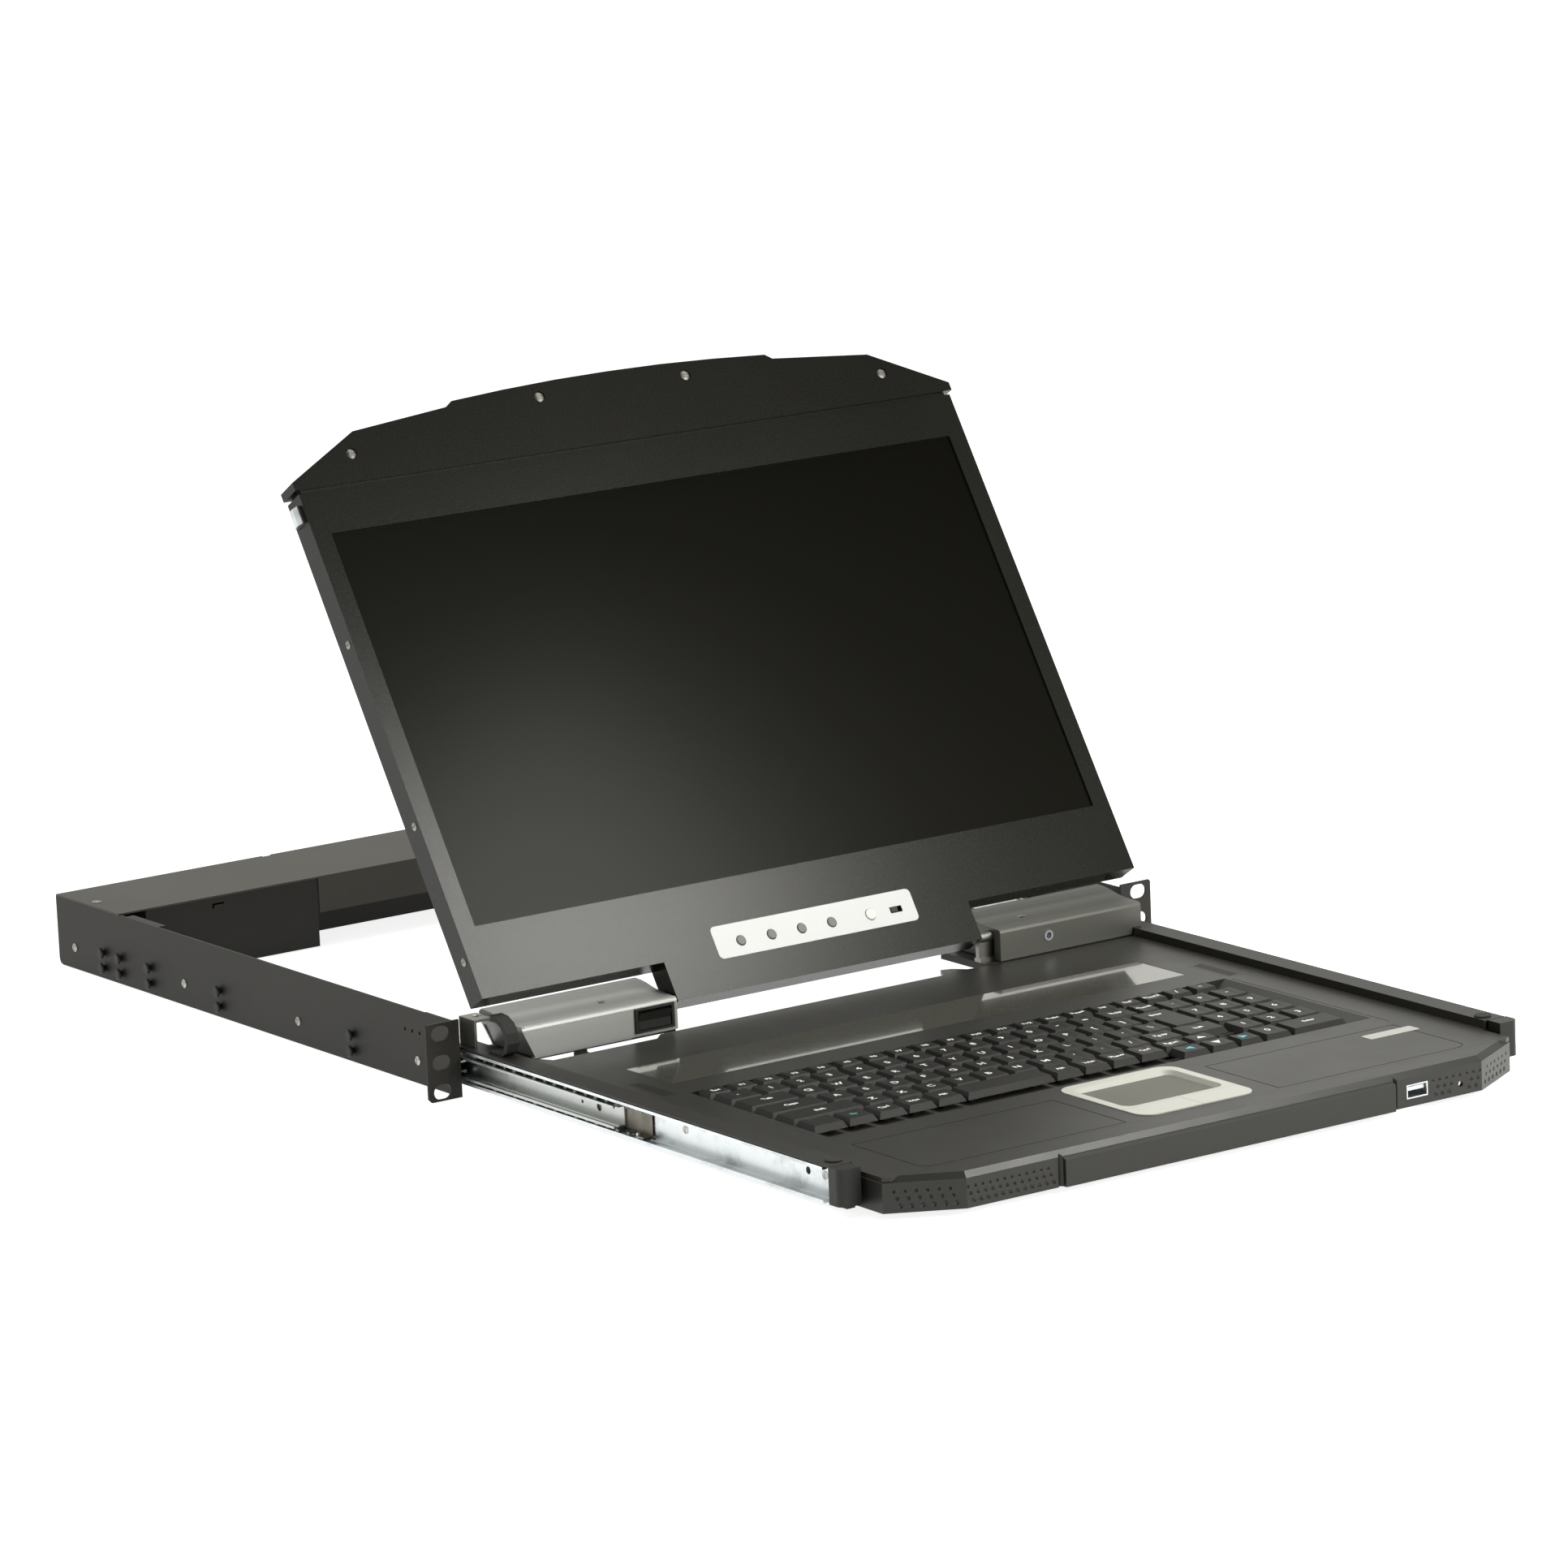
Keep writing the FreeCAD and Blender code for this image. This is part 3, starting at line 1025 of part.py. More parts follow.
def row(y, depth, spans):
    """Spans of one row as (x0, x1, y0, y1)."""
    return [(a, b, y - depth / 2, y + depth / 2) for a, b in spans]


def run(first, count):
    """Centres of a run of one unit keys."""
    return [first + UNIT * i for i in range(count)]


F_ROW = row(F_Y, F_DEPTH, [(x - F_PITCH / 2, x + F_PITCH / 2) for x in
                           [F_FIRST_X + F_PITCH * i for i in range(F_KEYS)]])
NUMBER_ROW = row(NUMBER_Y, ROW_DEPTH,
                 edges_from(MAIN_LEFT, run(NUMBER_FIRST_X, 12), (BACKSPACE_END_X, MAIN_RIGHT)))
ENTER_TALL = (ENTER_X, MAIN_RIGHT, HOME_Y - ROW_DEPTH / 2, UPPER_Y + ROW_DEPTH / 2)
ENTER_HEAD = (ENTER_HEAD_X, MAIN_RIGHT, UPPER_Y - ROW_DEPTH / 2, UPPER_Y + ROW_DEPTH / 2)
UPPER_ROW = row(UPPER_Y, ROW_DEPTH, edges_from(MAIN_LEFT, run(UPPER_FIRST_X, 12), ())) + [ENTER_TALL]
HOME_ROW = row(HOME_Y, ROW_DEPTH, edges_from(MAIN_LEFT, run(HOME_FIRST_X, 12), ()))
LOWER_ROW = row(LOWER_Y, ROW_DEPTH, edges_from(MAIN_LEFT, run(LOWER_FIRST_X, 10), (RIGHT_SHIFT_X, MAIN_RIGHT)))
BOTTOM_EDGES = (MAIN_LEFT, -150.0, -131.1, -112.5, -93.9, -75.3)
BOTTOM_EDGES_RIGHT = (-18.2, 0.3, 18.6, 37.0, ARROW_X[0])
BOTTOM_ROW = row(BOTTOM_Y, BOTTOM_DEPTH, list(zip(BOTTOM_EDGES[:-1], BOTTOM_EDGES[1:])))
BOTTOM_ROW += row(BOTTOM_Y, BOTTOM_DEPTH, list(zip(BOTTOM_EDGES_RIGHT[:-1], BOTTOM_EDGES_RIGHT[1:])))
BOTTOM_ROW += row(ARROW_REAR[0], ARROW_REAR[1], [ARROW_X[:2], ARROW_X[1:]])
BOTTOM_ROW += row(ARROW_FRONT[0], ARROW_FRONT[1], [ARROW_X[:2], ARROW_X[1:], (ARROW_X[2], MAIN_RIGHT)])
SPACE_BAR = row(BOTTOM_Y, BOTTOM_DEPTH, [(BOTTOM_EDGES[-1], BOTTOM_EDGES_RIGHT[0])])
KEYPAD = []
for pad_y in PAD_ROWS[:4]:
    KEYPAD += row(pad_y, PAD_DEPTH, [(c - PAD_KEY_W / 2, c + PAD_KEY_W / 2) for c in PAD_COLUMNS])
KEYPAD += row(PAD_ROWS[4], PAD_DEPTH, [PAD_ZERO, PAD_ENTER])

KEY_ROWS = {"keys_function_row": F_ROW, "keys_number_row": NUMBER_ROW, "keys_upper_row": UPPER_ROW,
            "keys_home_row": HOME_ROW, "keys_lower_row": LOWER_ROW, "keys_bottom_row": BOTTOM_ROW,
            "key_space_bar": SPACE_BAR, "keys_keypad": KEYPAD}


def stem_places(span):
    """Stem centres under one key; wide keys get two."""
    x0, x1, y0, y1 = span
    xm = (x0 + x1) / 2
    ym = (y0 + y1) / 2
    if x1 - x0 > WIDE_KEY:
        return [(xm - 20, ym), (xm + 20, ym)]
    return [(xm, ym)]


def keycap(span, dished=True):
    """Tapered cap with a shallow dish, on square stems."""
    x0, x1, y0, y1 = span
    g = KEY_GAP / 2
    x0, x1, y0, y1 = x0 + g, x1 - g, y0 + g, y1 - g
    base = [V(x0, y0, CAP_UNDER_Z), V(x1, y0, CAP_UNDER_Z), V(x1, y1, CAP_UNDER_Z), V(x0, y1, CAP_UNDER_Z)]
    sx, sf, sb = CAP_TAPER
    top = [V(x0 + sx, y0 + sf, KEY_TOP_Z - CAP_SLOPE), V(x1 - sx, y0 + sf, KEY_TOP_Z - CAP_SLOPE),
           V(x1 - sx, y1 - sb, KEY_TOP_Z), V(x0 + sx, y1 - sb, KEY_TOP_Z)]
    w0 = Part.makePolygon(base + base[:1])
    w1 = Part.makePolygon(top + top[:1])
    cap = Part.makeLoft([w0, w1], True, True)
    if dished and x1 - x0 < 30:
        xm = (x0 + x1) / 2
        dish = rod(DISH_R, y1 - y0 + 4, (xm, y0 - 2, KEY_TOP_Z + DISH_R - DISH_DEPTH), (0, 1, 0))
        cap = cap.cut(dish)
    stems = []
    for x, y in stem_places(span):
        stems.append(box(x - STEM / 2, x + STEM / 2, y - STEM / 2, y + STEM / 2, STEM_END_Z, CAP_UNDER_Z + 0.5))
    return fuse([cap] + stems)


def key_row(name, spans):
    """Caps of one row; the enter key of the upper row has a wider head."""
    if name != "keys_upper_row":
        return [keycap(span) for span in spans]
    tall = keycap(ENTER_TALL, False)
    head = keycap(ENTER_HEAD, False)
    blank = box(ENTER_HEAD[0] - 1, MAIN_RIGHT, HOME_Y - UNIT, UPPER_Y + UNIT, STEM_END_Z - 1, CAP_UNDER_Z)
    return [keycap(span) for span in spans[:-1]] + [fuse([tall, head.cut(blank)])]


def key_plate():
    """Guide plate under the keys, a square hole for each stem."""
    x0, x1 = RECESS_X
    y0, y1 = RECESS_Y
    body = box(x0 - 2, x1 + 2, y0 - 2, y1 + 2, PLATE_TOP_Z - PLATE_T, PLATE_TOP_Z)
    h = STEM / 2 + STEM_GAP
    cuts = []
    for spans in KEY_ROWS.values():
        for span in spans:
            for x, y in stem_places(span):
                cuts.append(box(x - h, x + h, y - h, y + h, PLATE_TOP_Z - PLATE_T - 1, PLATE_TOP_Z + 1))
    return body.cut(cuts)


def key_board():
    """Switch board under the keys, on posts from the tray, reaching back under the window."""
    x0, x1 = RECESS_X
    top = BOARD_Z + BOARD_T
    body = box(x0 + 2, x1 - 2, RECESS_Y[0] + 2, WINDOW_Y[1] - 1, BOARD_Z, top)
    lamps = []
    for i in range(LAMPS):
        x = LAMP_FIRST_X + i * LAMP_PITCH
        lamps.append(box(x - 2, x + 2, LAMP_Y - 2, LAMP_Y + 2, top, top + LAMP_H))
    return fuse([body] + lamps)


# ---------------------------------------------------------------- hinge pieces
def hinge_profile(grow):
    """Hinge cover section in (y, z), shrunk inward by grow."""
    g = grow
    low = 23.0 if g == 0 else 22.0
    return [(BOX_FRONT_Y + g, low), (BOX_FRONT_Y + g, 38.6 - g / 2), (-30.9 + g, 40.0 - g),
            (-29.4 + g / 2, 40.5 - g),
            (-22.0, 40.6 - g), (-17.0, 40.9 - g), (-12.0, 41.5 - g), (-7.5, 42.3 - g), (-3.0, 43.3 - g),
            (2.0, 44.0 - g), (8.0 - g / 2, 44.2 - g), (10.4 - g, 42.6 - g), (10.8 - g, low)]


def hinge_cover(span, slant):
    """One hollow hinge cover; the outer end leans in toward the bottom."""
    x0, x1 = span
    body = prism(hinge_profile(0), x0, x1)
    room = prism(hinge_profile(BOX_T), x0 + BOX_T, x1 - BOX_T)
    body = body.cut(room)
    if slant:
        wedge = bar([(x0 - 1, 22), (x0 + 8, 22), (x0 - 1, 40.5)], BOX_FRONT_Y - 1, 12)
        fill = bar([(x0 + 8, 23), (x0 + 9.5, 23), (x0 + 1.5, 40.5), (x0, 40.5)], BOX_FRONT_Y + 0.5, 10.6)
        body = fuse([body, fill]).cut(wedge)
    return body


def hinge_covers():
    """Left and right hinge covers with the rocker, jack and shaft openings."""
    left = hinge_cover(HINGE_BOX_LEFT, True)
    lip = box(-194.5, -132, BOX_FRONT_Y + 0.2, BOX_FRONT_Y + 3, 22.6, 23.2)
    left = fuse([left, lip])
    x0, x1 = ROCKER_X
    z0, z1 = ROCKER_Z
    cuts = [box(x0 + 0.6, x1 - 0.6, BOX_FRONT_Y - 1, BOX_FRONT_Y + 3, z0 + 0.6, z1 - 0.6)]
    cuts.append(rod(SLEEVE_R + 0.3, 4, (HINGE_BOX_LEFT[1] - 3, AXIS_Y, AXIS_Z), (1, 0, 0)))
    gap = SLEEVE_R + 0.3
    cuts.append(box(HINGE_BOX_LEFT[1] - 2.4, HINGE_BOX_LEFT[1] + 1.6, AXIS_Y - gap, AXIS_Y + gap, 22, AXIS_Z))
    sx, sy, sz = COVER_TOP_SCREW
    left = left.cut(cuts + [rod(2.4, 3, (-sx, sy, sz), (0, 0, 1)), rod(1.02, 4, (-sx, sy, sz - 3), (0, 0, 1))])
    right = hinge_cover(HINGE_BOX_RIGHT, False)
    cuts = [rod(2.4, 3, (sx, sy, sz), (0, 0, 1)), rod(1.02, 4, (sx, sy, sz - 3), (0, 0, 1))]
    cuts += [rod(3.02, 6, (JACK_X, BOX_FRONT_Y - 1, JACK_Z), (0, 1, 0))]
    cuts.append(rod(SLEEVE_R + 0.3, 4, (HINGE_BOX_RIGHT[0] - 1, AXIS_Y, AXIS_Z), (1, 0, 0)))
    cuts.append(box(HINGE_BOX_RIGHT[0] - 1.5, HINGE_BOX_RIGHT[0] + 1.9, AXIS_Y - gap, AXIS_Y + gap, 22, AXIS_Z))
    cuts.append(box(FLANGE_IN_X - 0.3, HINGE_BOX_RIGHT[1] + 2, -40, 12, 20, FLANGE_TOP_Z))
    return [left, right.cut(cuts)]


def hinge_brackets():
    """Barrel castings that carry the hinge shafts, and the outer angle brackets."""
    out = []
    shelf = HINGE_SHELF_Z[2]
    for s, x1 in ((-1, BARREL_LEFT_END), (1, BARREL_RIGHT_END)):
        x0 = HINGE_SHELF_X
        sleeve = rod(SLEEVE_R, x1 - x0, (x0, AXIS_Y, AXIS_Z), (1, 0, 0))
        web = box(x0, x1, AXIS_Y - BARREL_WEB / 2, AXIS_Y + BARREL_WEB / 2, shelf, AXIS_Z)
        foot = box(x0, BARREL_RIGHT_END, AXIS_Y - SLEEVE_R, AXIS_Y + SLEEVE_R, shelf, shelf + BARREL_FOOT)
        body = fuse([sleeve, web, foot])
        body = body.cut(rod(SHAFT_R + SHAFT_RUN, x1 - x0 + 2, (x0 - 1, AXIS_Y, AXIS_Z), (1, 0, 0)))
        out.append(body if s > 0 else flip(body))
    x = ANGLE_OUT_X
    t = ANGLE_T
    z = ANGLE_TOP_Z
    leg = bar([(x - t, FLANGE_TOP_Z), (x, FLANGE_TOP_Z), (x, z), (x - ANGLE_REACH, z), (x - ANGLE_REACH, z - t),
               (x - t, z - t)], ANGLE_Y[0], ANGLE_Y[1])
    sx, sy = ANGLE_SCREW
    out.append(flip(leg).cut(rod(1.4, 4, (-sx, sy, z - 2.7), (0, 0, 1))))
    out.append(bar([(x - 2.9, FLANGE_TOP_Z), (x, FLANGE_TOP_Z), (x, FLANGE_TOP_Z + 7.2),
                    (x - 2.9, FLANGE_TOP_Z + 9.2)], ANGLE_Y[0] - 3, ANGLE_Y[1]))
    return out


def hinge_shafts():
    """Shafts fixed in the foot of the screen, with their inner lugs."""
    out = []
    for s, x1 in ((-1, BARREL_LEFT_END + 0.6), (1, BARREL_RIGHT_END + 3)):
        x0 = 92.0
        shaft = rod(SHAFT_R, x1 - x0, (x0, AXIS_Y, AXIS_Z), (1, 0, 0))
        v0 = BEZEL_BOTTOM + SKIN_T
        lug = box(x0 - 14, x0 + 3, v0, v0 + 13, SCREEN_BACK + SKIN_T, SCREEN_FRONT - SKIN_T)
        body = fuse([shaft, raised(lug)])
        out.append(body if s > 0 else flip(body))
    return out


def rocker_bezel():
    """Frame of the rocker switch."""
    x0, x1 = ROCKER_X
    z0, z1 = ROCKER_Z
    front = BOX_FRONT_Y - 1.0
    rim = box(x0, x1, front, BOX_FRONT_Y, z0, z1)
    tube = box(x0 + 0.7, x1 - 0.7, BOX_FRONT_Y, BOX_FRONT_Y + 8, z0 + 0.7, z1 - 0.7)
    hole = box(x0 + 1.7, x1 - 1.7, front - 1, BOX_FRONT_Y + 9, z0 + 1.3, z1 - 1.3)
    body = fuse([rim, tube]).cut(hole)
    bore = rod(ROCKER_PIN_R + 0.1, x1 - x0, (x0 + 0.6, ROCKER_AXIS_Y, (z0 + z1) / 2), (1, 0, 0))
    return body.cut(bore)


def rocker_switch():
    """Two-faced rocker on a round pin, resting pressed in at the bottom."""
    x0, x1 = ROCKER_X
    zc = sum(ROCKER_Z) / 2
    yc = ROCKER_AXIS_Y
    pts = [(yc - 5.2, zc - 4.4), (yc - 4.3, zc), (yc - 5.2, zc + 4.4), (yc - 1.0, zc + 4.6),
           (yc + 2.6, zc + 2.2), (yc + 2.6, zc - 2.2), (yc - 1.0, zc - 4.6)]
    body = prism(pts, x0 + 2.2, x1 - 2.2)
    body.rotate(V(0, yc, zc), V(1, 0, 0), ROCKER_TILT)
    pin = rod(ROCKER_PIN_R, x1 - x0 - 2.0, (x0 + 1.0, yc, zc), (1, 0, 0))
    return fuse([body, pin])


def cable_sleeve():
    """Folded sleeve that carries the screen leads round the left hinge."""
    pts = []
    inner = []
    for i in range(9):
        a = math.radians(SLEEVE_START - SLEEVE_STEP * i)
        pts.append((AXIS_Y + SLEEVE_OUTER[0] * math.cos(a), AXIS_Z + SLEEVE_OUTER[1] * math.sin(a)))
        inner.append((AXIS_Y + SLEEVE_INNER[0] * math.cos(a), AXIS_Z + SLEEVE_INNER[1] * math.sin(a)))
    outline = [(p[0], max(p[1], FLANGE_TOP_Z)) for p in pts]
    back = [(p[0], max(p[1], FLANGE_TOP_Z + 1.2)) for p in inner]
    return prism(outline + back[::-1], -SLEEVE_X[1], -SLEEVE_X[0])


def drawer_screws():
    """Screws in the slide members, hinge covers and angle bracket."""
    out = []
    for y in MEMBER_SCREW_Y:
        out += both(pan_head((DRAWER_WEB_X, y, MEMBER_SCREW_Z), (1, 0, 0), 2.3, 0.4, True, 1.2, 2.2))
    x, y, z = COVER_TOP_SCREW
    for s in (-1, 1):
        out.append(pan_head((s * x, y, z), (0, 0, 1), 2.2, 0.5, True, 1.0, 1.2))
    out.append(pan_head((-ANGLE_SCREW[0], ANGLE_SCREW[1], ANGLE_TOP_Z), (0, 0, 1), 2.6, 0.8, True, 1.35, 1.4))
    return out


# ---------------------------------------------------------------- screen pieces (flat layout)
def screen_outline(i):
    """Outline of the screen body, inset by i."""
    x = BEZEL_HALF_X - i
    n = NOTCH_X - i
    v = NOTCH_V + i
    b = BEZEL_BOTTOM + i
    t = BEZEL_TOP - i
    return [(-x, v), (-n, v), (-n, b), (n, b), (n, v), (x, v), (x, t), (-x, t)]


def lcd_bezel():
    """Front frame of the screen with its window, control openings and side walls."""
    body = plate(screen_outline(0), SPLIT_W, SCREEN_FRONT)
    room = plate(screen_outline(SKIN_T), SPLIT_W - 1, SCREEN_FRONT - SKIN_T)
    body = body.cut(room)
    cuts = [box(-ACTIVE_HALF_X - 0.6, ACTIVE_HALF_X + 0.6, -0.6, ACTIVE_H + 0.6, -3, 3)]
    cuts.append(rounded(-LABEL_X, LABEL_X, LABEL_V[0], LABEL_V[1], 3, SCREEN_FRONT - 0.4, 3))
    for x in OSD_BUTTON_X:
        cuts.append(rod(OSD_BUTTON_R + BUTTON_HOLE_GAP, 5, (x, OSD_V, -2), (0, 0, 1)))
    cuts.append(rod(POWER_R + BUTTON_HOLE_GAP, 5, (POWER_X, OSD_V, -2), (0, 0, 1)))
    cuts.append(box(SWITCH_X - 2.5, SWITCH_X + SWITCH_TRAVEL + 2.5, OSD_V - 1.8, OSD_V + 1.8, -2, 3))
    for s in (-1, 1):
        a, b = sorted((s * (BEZEL_HALF_X - 3), s * (BEZEL_HALF_X + 2)))
        cuts.append(box(a, b, LATCH_V[0] - 0.3, LATCH_V[1] + 0.3, LATCH_W[0] - 0.3, LATCH_W[1] + 0.3))
    for s in (-1, 1):
        cuts.append(rod(SHAFT_R + SHAFT_FIT, 14, (s * SHAFT_SEAT_X, AXIS_V, AXIS_W), (s, 0, 0)))
        for v in SIDE_SCREW_V:
            cuts.append(rod(1.1, 4, (s * (BEZEL_HALF_X - 3), v, SIDE_SCREW_W), (s, 0, 0)))
    return body.cut(cuts)


def lcd_back_cover():
    """Back shell of the screen."""
    body = plate(screen_outline(0), SCREEN_BACK, SPLIT_W)
    room = plate(screen_outline(SKIN_T), SCREEN_BACK + SKIN_T, SPLIT_W + 1)
    body = body.cut(room)
    cuts = []
    for s in (-1, 1):
        a, b = sorted((s * (BEZEL_HALF_X - 3), s * (BEZEL_HALF_X + 2)))
        cuts.append(box(a, b, LATCH_V[0] - 0.3, LATCH_V[1] + 0.3, LATCH_W[0] - 0.3, LATCH_W[1] + 0.3))
        cuts.append(rod(SHAFT_R + SHAFT_FIT, 14, (s * SHAFT_SEAT_X, AXIS_V, AXIS_W), (s, 0, 0)))
    half = BACK_VENT_L / 2
    for i in range(BACK_VENTS):
        x = (i - (BACK_VENTS - 1) / 2) * BACK_VENT_PITCH
        for v0, v1 in BACK_VENT_V:
            cuts.append(box(x - half, x + half, v0, v1, SCREEN_BACK - 1, SCREEN_BACK + 3))
    return body.cut(cuts)


def lcd_panel():
    """Glass-fronted display module."""
    return box(-PANEL_HALF_X, PANEL_HALF_X, PANEL_V[0], PANEL_V[1], PANEL_BACK_W, SCREEN_FRONT - SKIN_T)


def lcd_boards():
    """Control board behind the keys of the screen, and the driver board."""
    w0, w1 = CONTROL_BOARD_W
    floor = SCREEN_BACK + SKIN_T
    strip = box(-75, 75, OSD_V - 6.9, OSD_V + 8.1, w0, w1)
    posts = [box(x - 2, x + 2, OSD_V - 0.9, OSD_V + 3.1, floor, w0) for x in (-70, 0, 70)]
    knobs = []
    for x in OSD_BUTTON_X + (POWER_X,):
        knobs.append(box(x - 1.5, x + 1.5, OSD_V - 1.5, OSD_V + 1.5, w1, w1 + 0.9))
    knobs.append(box(SWITCH_X - 2, SWITCH_X + 5, OSD_V - 2, OSD_V + 2, w1, w1 + 1.6))
    v0, v1 = DRIVER_BOARD_V
    driver = box(-v0 - 20, v0 + 20, v0, v1, floor + 1.5, floor + 2.7)
    stand = []
    for x in (-70, 70):
        for v in (v0 + 6, v1 - 6):
            stand.append(box(x - 2, x + 2, v - 2, v + 2, floor, floor + 1.5))
    return [fuse([strip] + posts + knobs), fuse([driver] + stand)]


def upper_handle():
    """Handle moulding along the top edge of the screen, hollow from the back."""
    def outline(i, v0):
        side = HANDLE_SIDE_X - i
        sx, sv = HANDLE_SHOULDER
        grip = HANDLE_GRIP_X
        top = HANDLE_V + HANDLE_CROWN - i
        pts = [(side, v0), (side, HANDLE_V + 4.8 - i * 0.4), (sx - i * 0.3, sv - i), (grip, HANDLE_GRIP_V - i),
               (grip - 4.2 - i * 0.3, HANDLE_GRIP_V + 3.0 - i), (70, top - 1.8), (35, top - 0.4), (0, top)]
        return pts + [(-x, y) for x, y in pts[-2::-1]]
    body = plate(outline(0, HANDLE_V), SCREEN_BACK + 0.3, HANDLE_W)
    tx = BEZEL_HALF_X - 2.5
    tongue = box(-tx, tx, BEZEL_TOP, HANDLE_V + 1, SCREEN_BACK + 2.5, SCREEN_FRONT - 1.5)
    body = fuse([body, tongue])
    room = plate(outline(2.2, HANDLE_V + 2.2), SCREEN_BACK - 1, HANDLE_W - 2.4)
    body = body.cut(room)
    bosses = []
    cuts = []
    for x, v in HANDLE_SCREWS:
        bosses.append(rod(HANDLE_BOSS_R, 6, (x, v, HANDLE_W - 6.5), (0, 0, 1)))
        cuts.append(rod(HANDLE_SINK_R, 4, (x, v, HANDLE_W - 1.0), (0, 0, 1)))
        cuts.append(rod(1.25, 12, (x, v, HANDLE_W - 6), (0, 0, 1)))
    return fuse([body] + bosses).cut(cuts)


def control_plate():
    """Light plate round the screen controls."""
    body = rounded(-LABEL_X + 0.1, LABEL_X - 0.1, LABEL_V[0] + 0.1, LABEL_V[1] - 0.1, 2.9,
                   SCREEN_FRONT - 0.4, SCREEN_FRONT + 0.25)
    cuts = [rod(OSD_BUTTON_R + BUTTON_HOLE_GAP, 5, (x, OSD_V, -2), (0, 0, 1)) for x in OSD_BUTTON_X]
    cuts.append(rod(POWER_R + BUTTON_HOLE_GAP, 5, (POWER_X, OSD_V, -2), (0, 0, 1)))
    cuts.append(box(SWITCH_X - 2.5, SWITCH_X + SWITCH_TRAVEL + 2.5, OSD_V - 1.8, OSD_V + 1.8, -2, 3))
    return body.cut(cuts)


def push_button(x, r, top):
    """Round push button with a retaining flange."""
    profile = [V(0, 0, -2.9), V(r + 1.0, 0, -2.9), V(r + 1.0, 0, -1.9), V(r, 0, -1.9), V(r, 0, top - 0.3),
               V(r - 0.4, 0, top), V(0, 0, top), V(0, 0, -2.9)]
    button = Part.Face(Part.makePolygon(profile)).revolve(V(0, 0, 0), V(0, 0, 1), 360)
    button.translate(V(x, OSD_V, 0))
    return button


def slide_switch():
    """Slide switch knob."""
    knob = box(SWITCH_X - 2.1, SWITCH_X + 2.1, OSD_V - 1.4, OSD_V + 1.4, -2.7, 1.9)
    return knob


def side_latch():
    """Spring latch bolt in the right edge of the screen."""
    bolt = bar([(BEZEL_HALF_X - 6, LATCH_W[0]), (LATCH_OUT_X - 1.2, LATCH_W[0]), (LATCH_OUT_X, LATCH_W[0] + 3),
                (LATCH_OUT_X, LATCH_W[1] - 3), (LATCH_OUT_X - 1.2, LATCH_W[1]), (BEZEL_HALF_X - 6, LATCH_W[1])],
               LATCH_V[0], LATCH_V[1])
    return bolt


def lcd_screws():
    """Screws of the upper handle and of the screen edges."""
    out = []
    for x, v in HANDLE_SCREWS:
        out.append(pan_head((x, v, HANDLE_W - 1.0), (0, 0, 1), 3.0, 1.0, True, 1.2, 4))
    for v in SIDE_SCREW_V:
        out += both(pan_head((BEZEL_HALF_X, v, SIDE_SCREW_W), (1, 0, 0), 2.3, 0.7, True, 1.05, 1.4))
    return out


def main():
    os.makedirs(OUT, exist_ok=True)
    side = case_side()
    export("case_side_right", side)
    export("case_side_left", flip(side))
    export("rear_housing", rear_housing())
    export("rear_cover", rear_cover())
    export("case_studs", studs())
    export("case_screws", case_screws())
    export("power_inlet", power_inlet())
    export("rear_connectors", rear_connectors())
    export("rear_electronics", rear_electronics())
    export("slide_case_members", case_members())
    export("slide_middle_members", middle_members())
    export("slide_drawer_members", drawer_members())
    export("outer_ball_cages", cage(RACE_B, OUTER_CAGE_WEB_X, OUTER_CAGE_Y, OUTER_CAGE_W, CAGE_T / 2))
    export("outer_balls", balls(RACE_B, OUTER_CAGE_Y))
    export("inner_ball_cages", cage(RACE_A, INNER_CAGE_WEB_X, INNER_CAGE_Y, INNER_CAGE_W, CAGE_LIP))
    export("inner_balls", balls(RACE_A, INNER_CAGE_Y))
    export("drawer_tray", drawer_tray())
    export("keyboard_deck", deck())
    export("front_fascia", front_fascia())
    export("drawer_sockets", [usb_socket(), service_jack()])
    export("corner_blocks", corner_blocks())
    export("rest_pads", rest_pads())
    export("indicator_window", indicator_window())
    export("speaker_grilles", speaker_grilles())
    export("touchpad_bezel", touchpad_bezel())
    export("touch_surface", touch_surface())
    export("touch_button_left", touch_button(-1))
    export("touch_button_right", touch_button(1))
    export("key_plate", key_plate())
    export("key_board", key_board())
    for name, spans in KEY_ROWS.items():
        export(name, key_row(name, spans))
    export("hinge_covers", hinge_covers())
    export("hinge_brackets", hinge_brackets())
    export("hinge_shafts", hinge_shafts())
    export("rocker_bezel", rocker_bezel())
    export("rocker_switch", rocker_switch())
    export("cable_sleeve", cable_sleeve())
    export("drawer_screws", drawer_screws())
    export("lcd_bezel", raised(lcd_bezel()))
    export("lcd_back_cover", raised(lcd_back_cover()))
    export("lcd_panel", raised(lcd_panel()))
    export("lcd_boards", [raised(s) for s in lcd_boards()])
    export("upper_handle", raised(upper_handle()))
    export("control_plate", raised(control_plate()))
    for i, x in enumerate(OSD_BUTTON_X):
        export("osd_button_%d" % (i + 1), raised(push_button(x, OSD_BUTTON_R, 1.9)))
    export("power_button", raised(push_button(POWER_X, POWER_R, 2.0)))
    export("slide_switch", raised(slide_switch()))
    latch = side_latch()
    export("side_latch_right", raised(latch))
    export("side_latch_left", raised(flip(latch)))
    export("lcd_screws", [raised(s) for s in lcd_screws()])


main()
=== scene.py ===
"""Looks of the rackmount LCD console drawer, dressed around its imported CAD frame."""

import json
import math

import bmesh
import bpy
from mathutils import Matrix, Vector
from mathutils.bvhtree import BVHTree

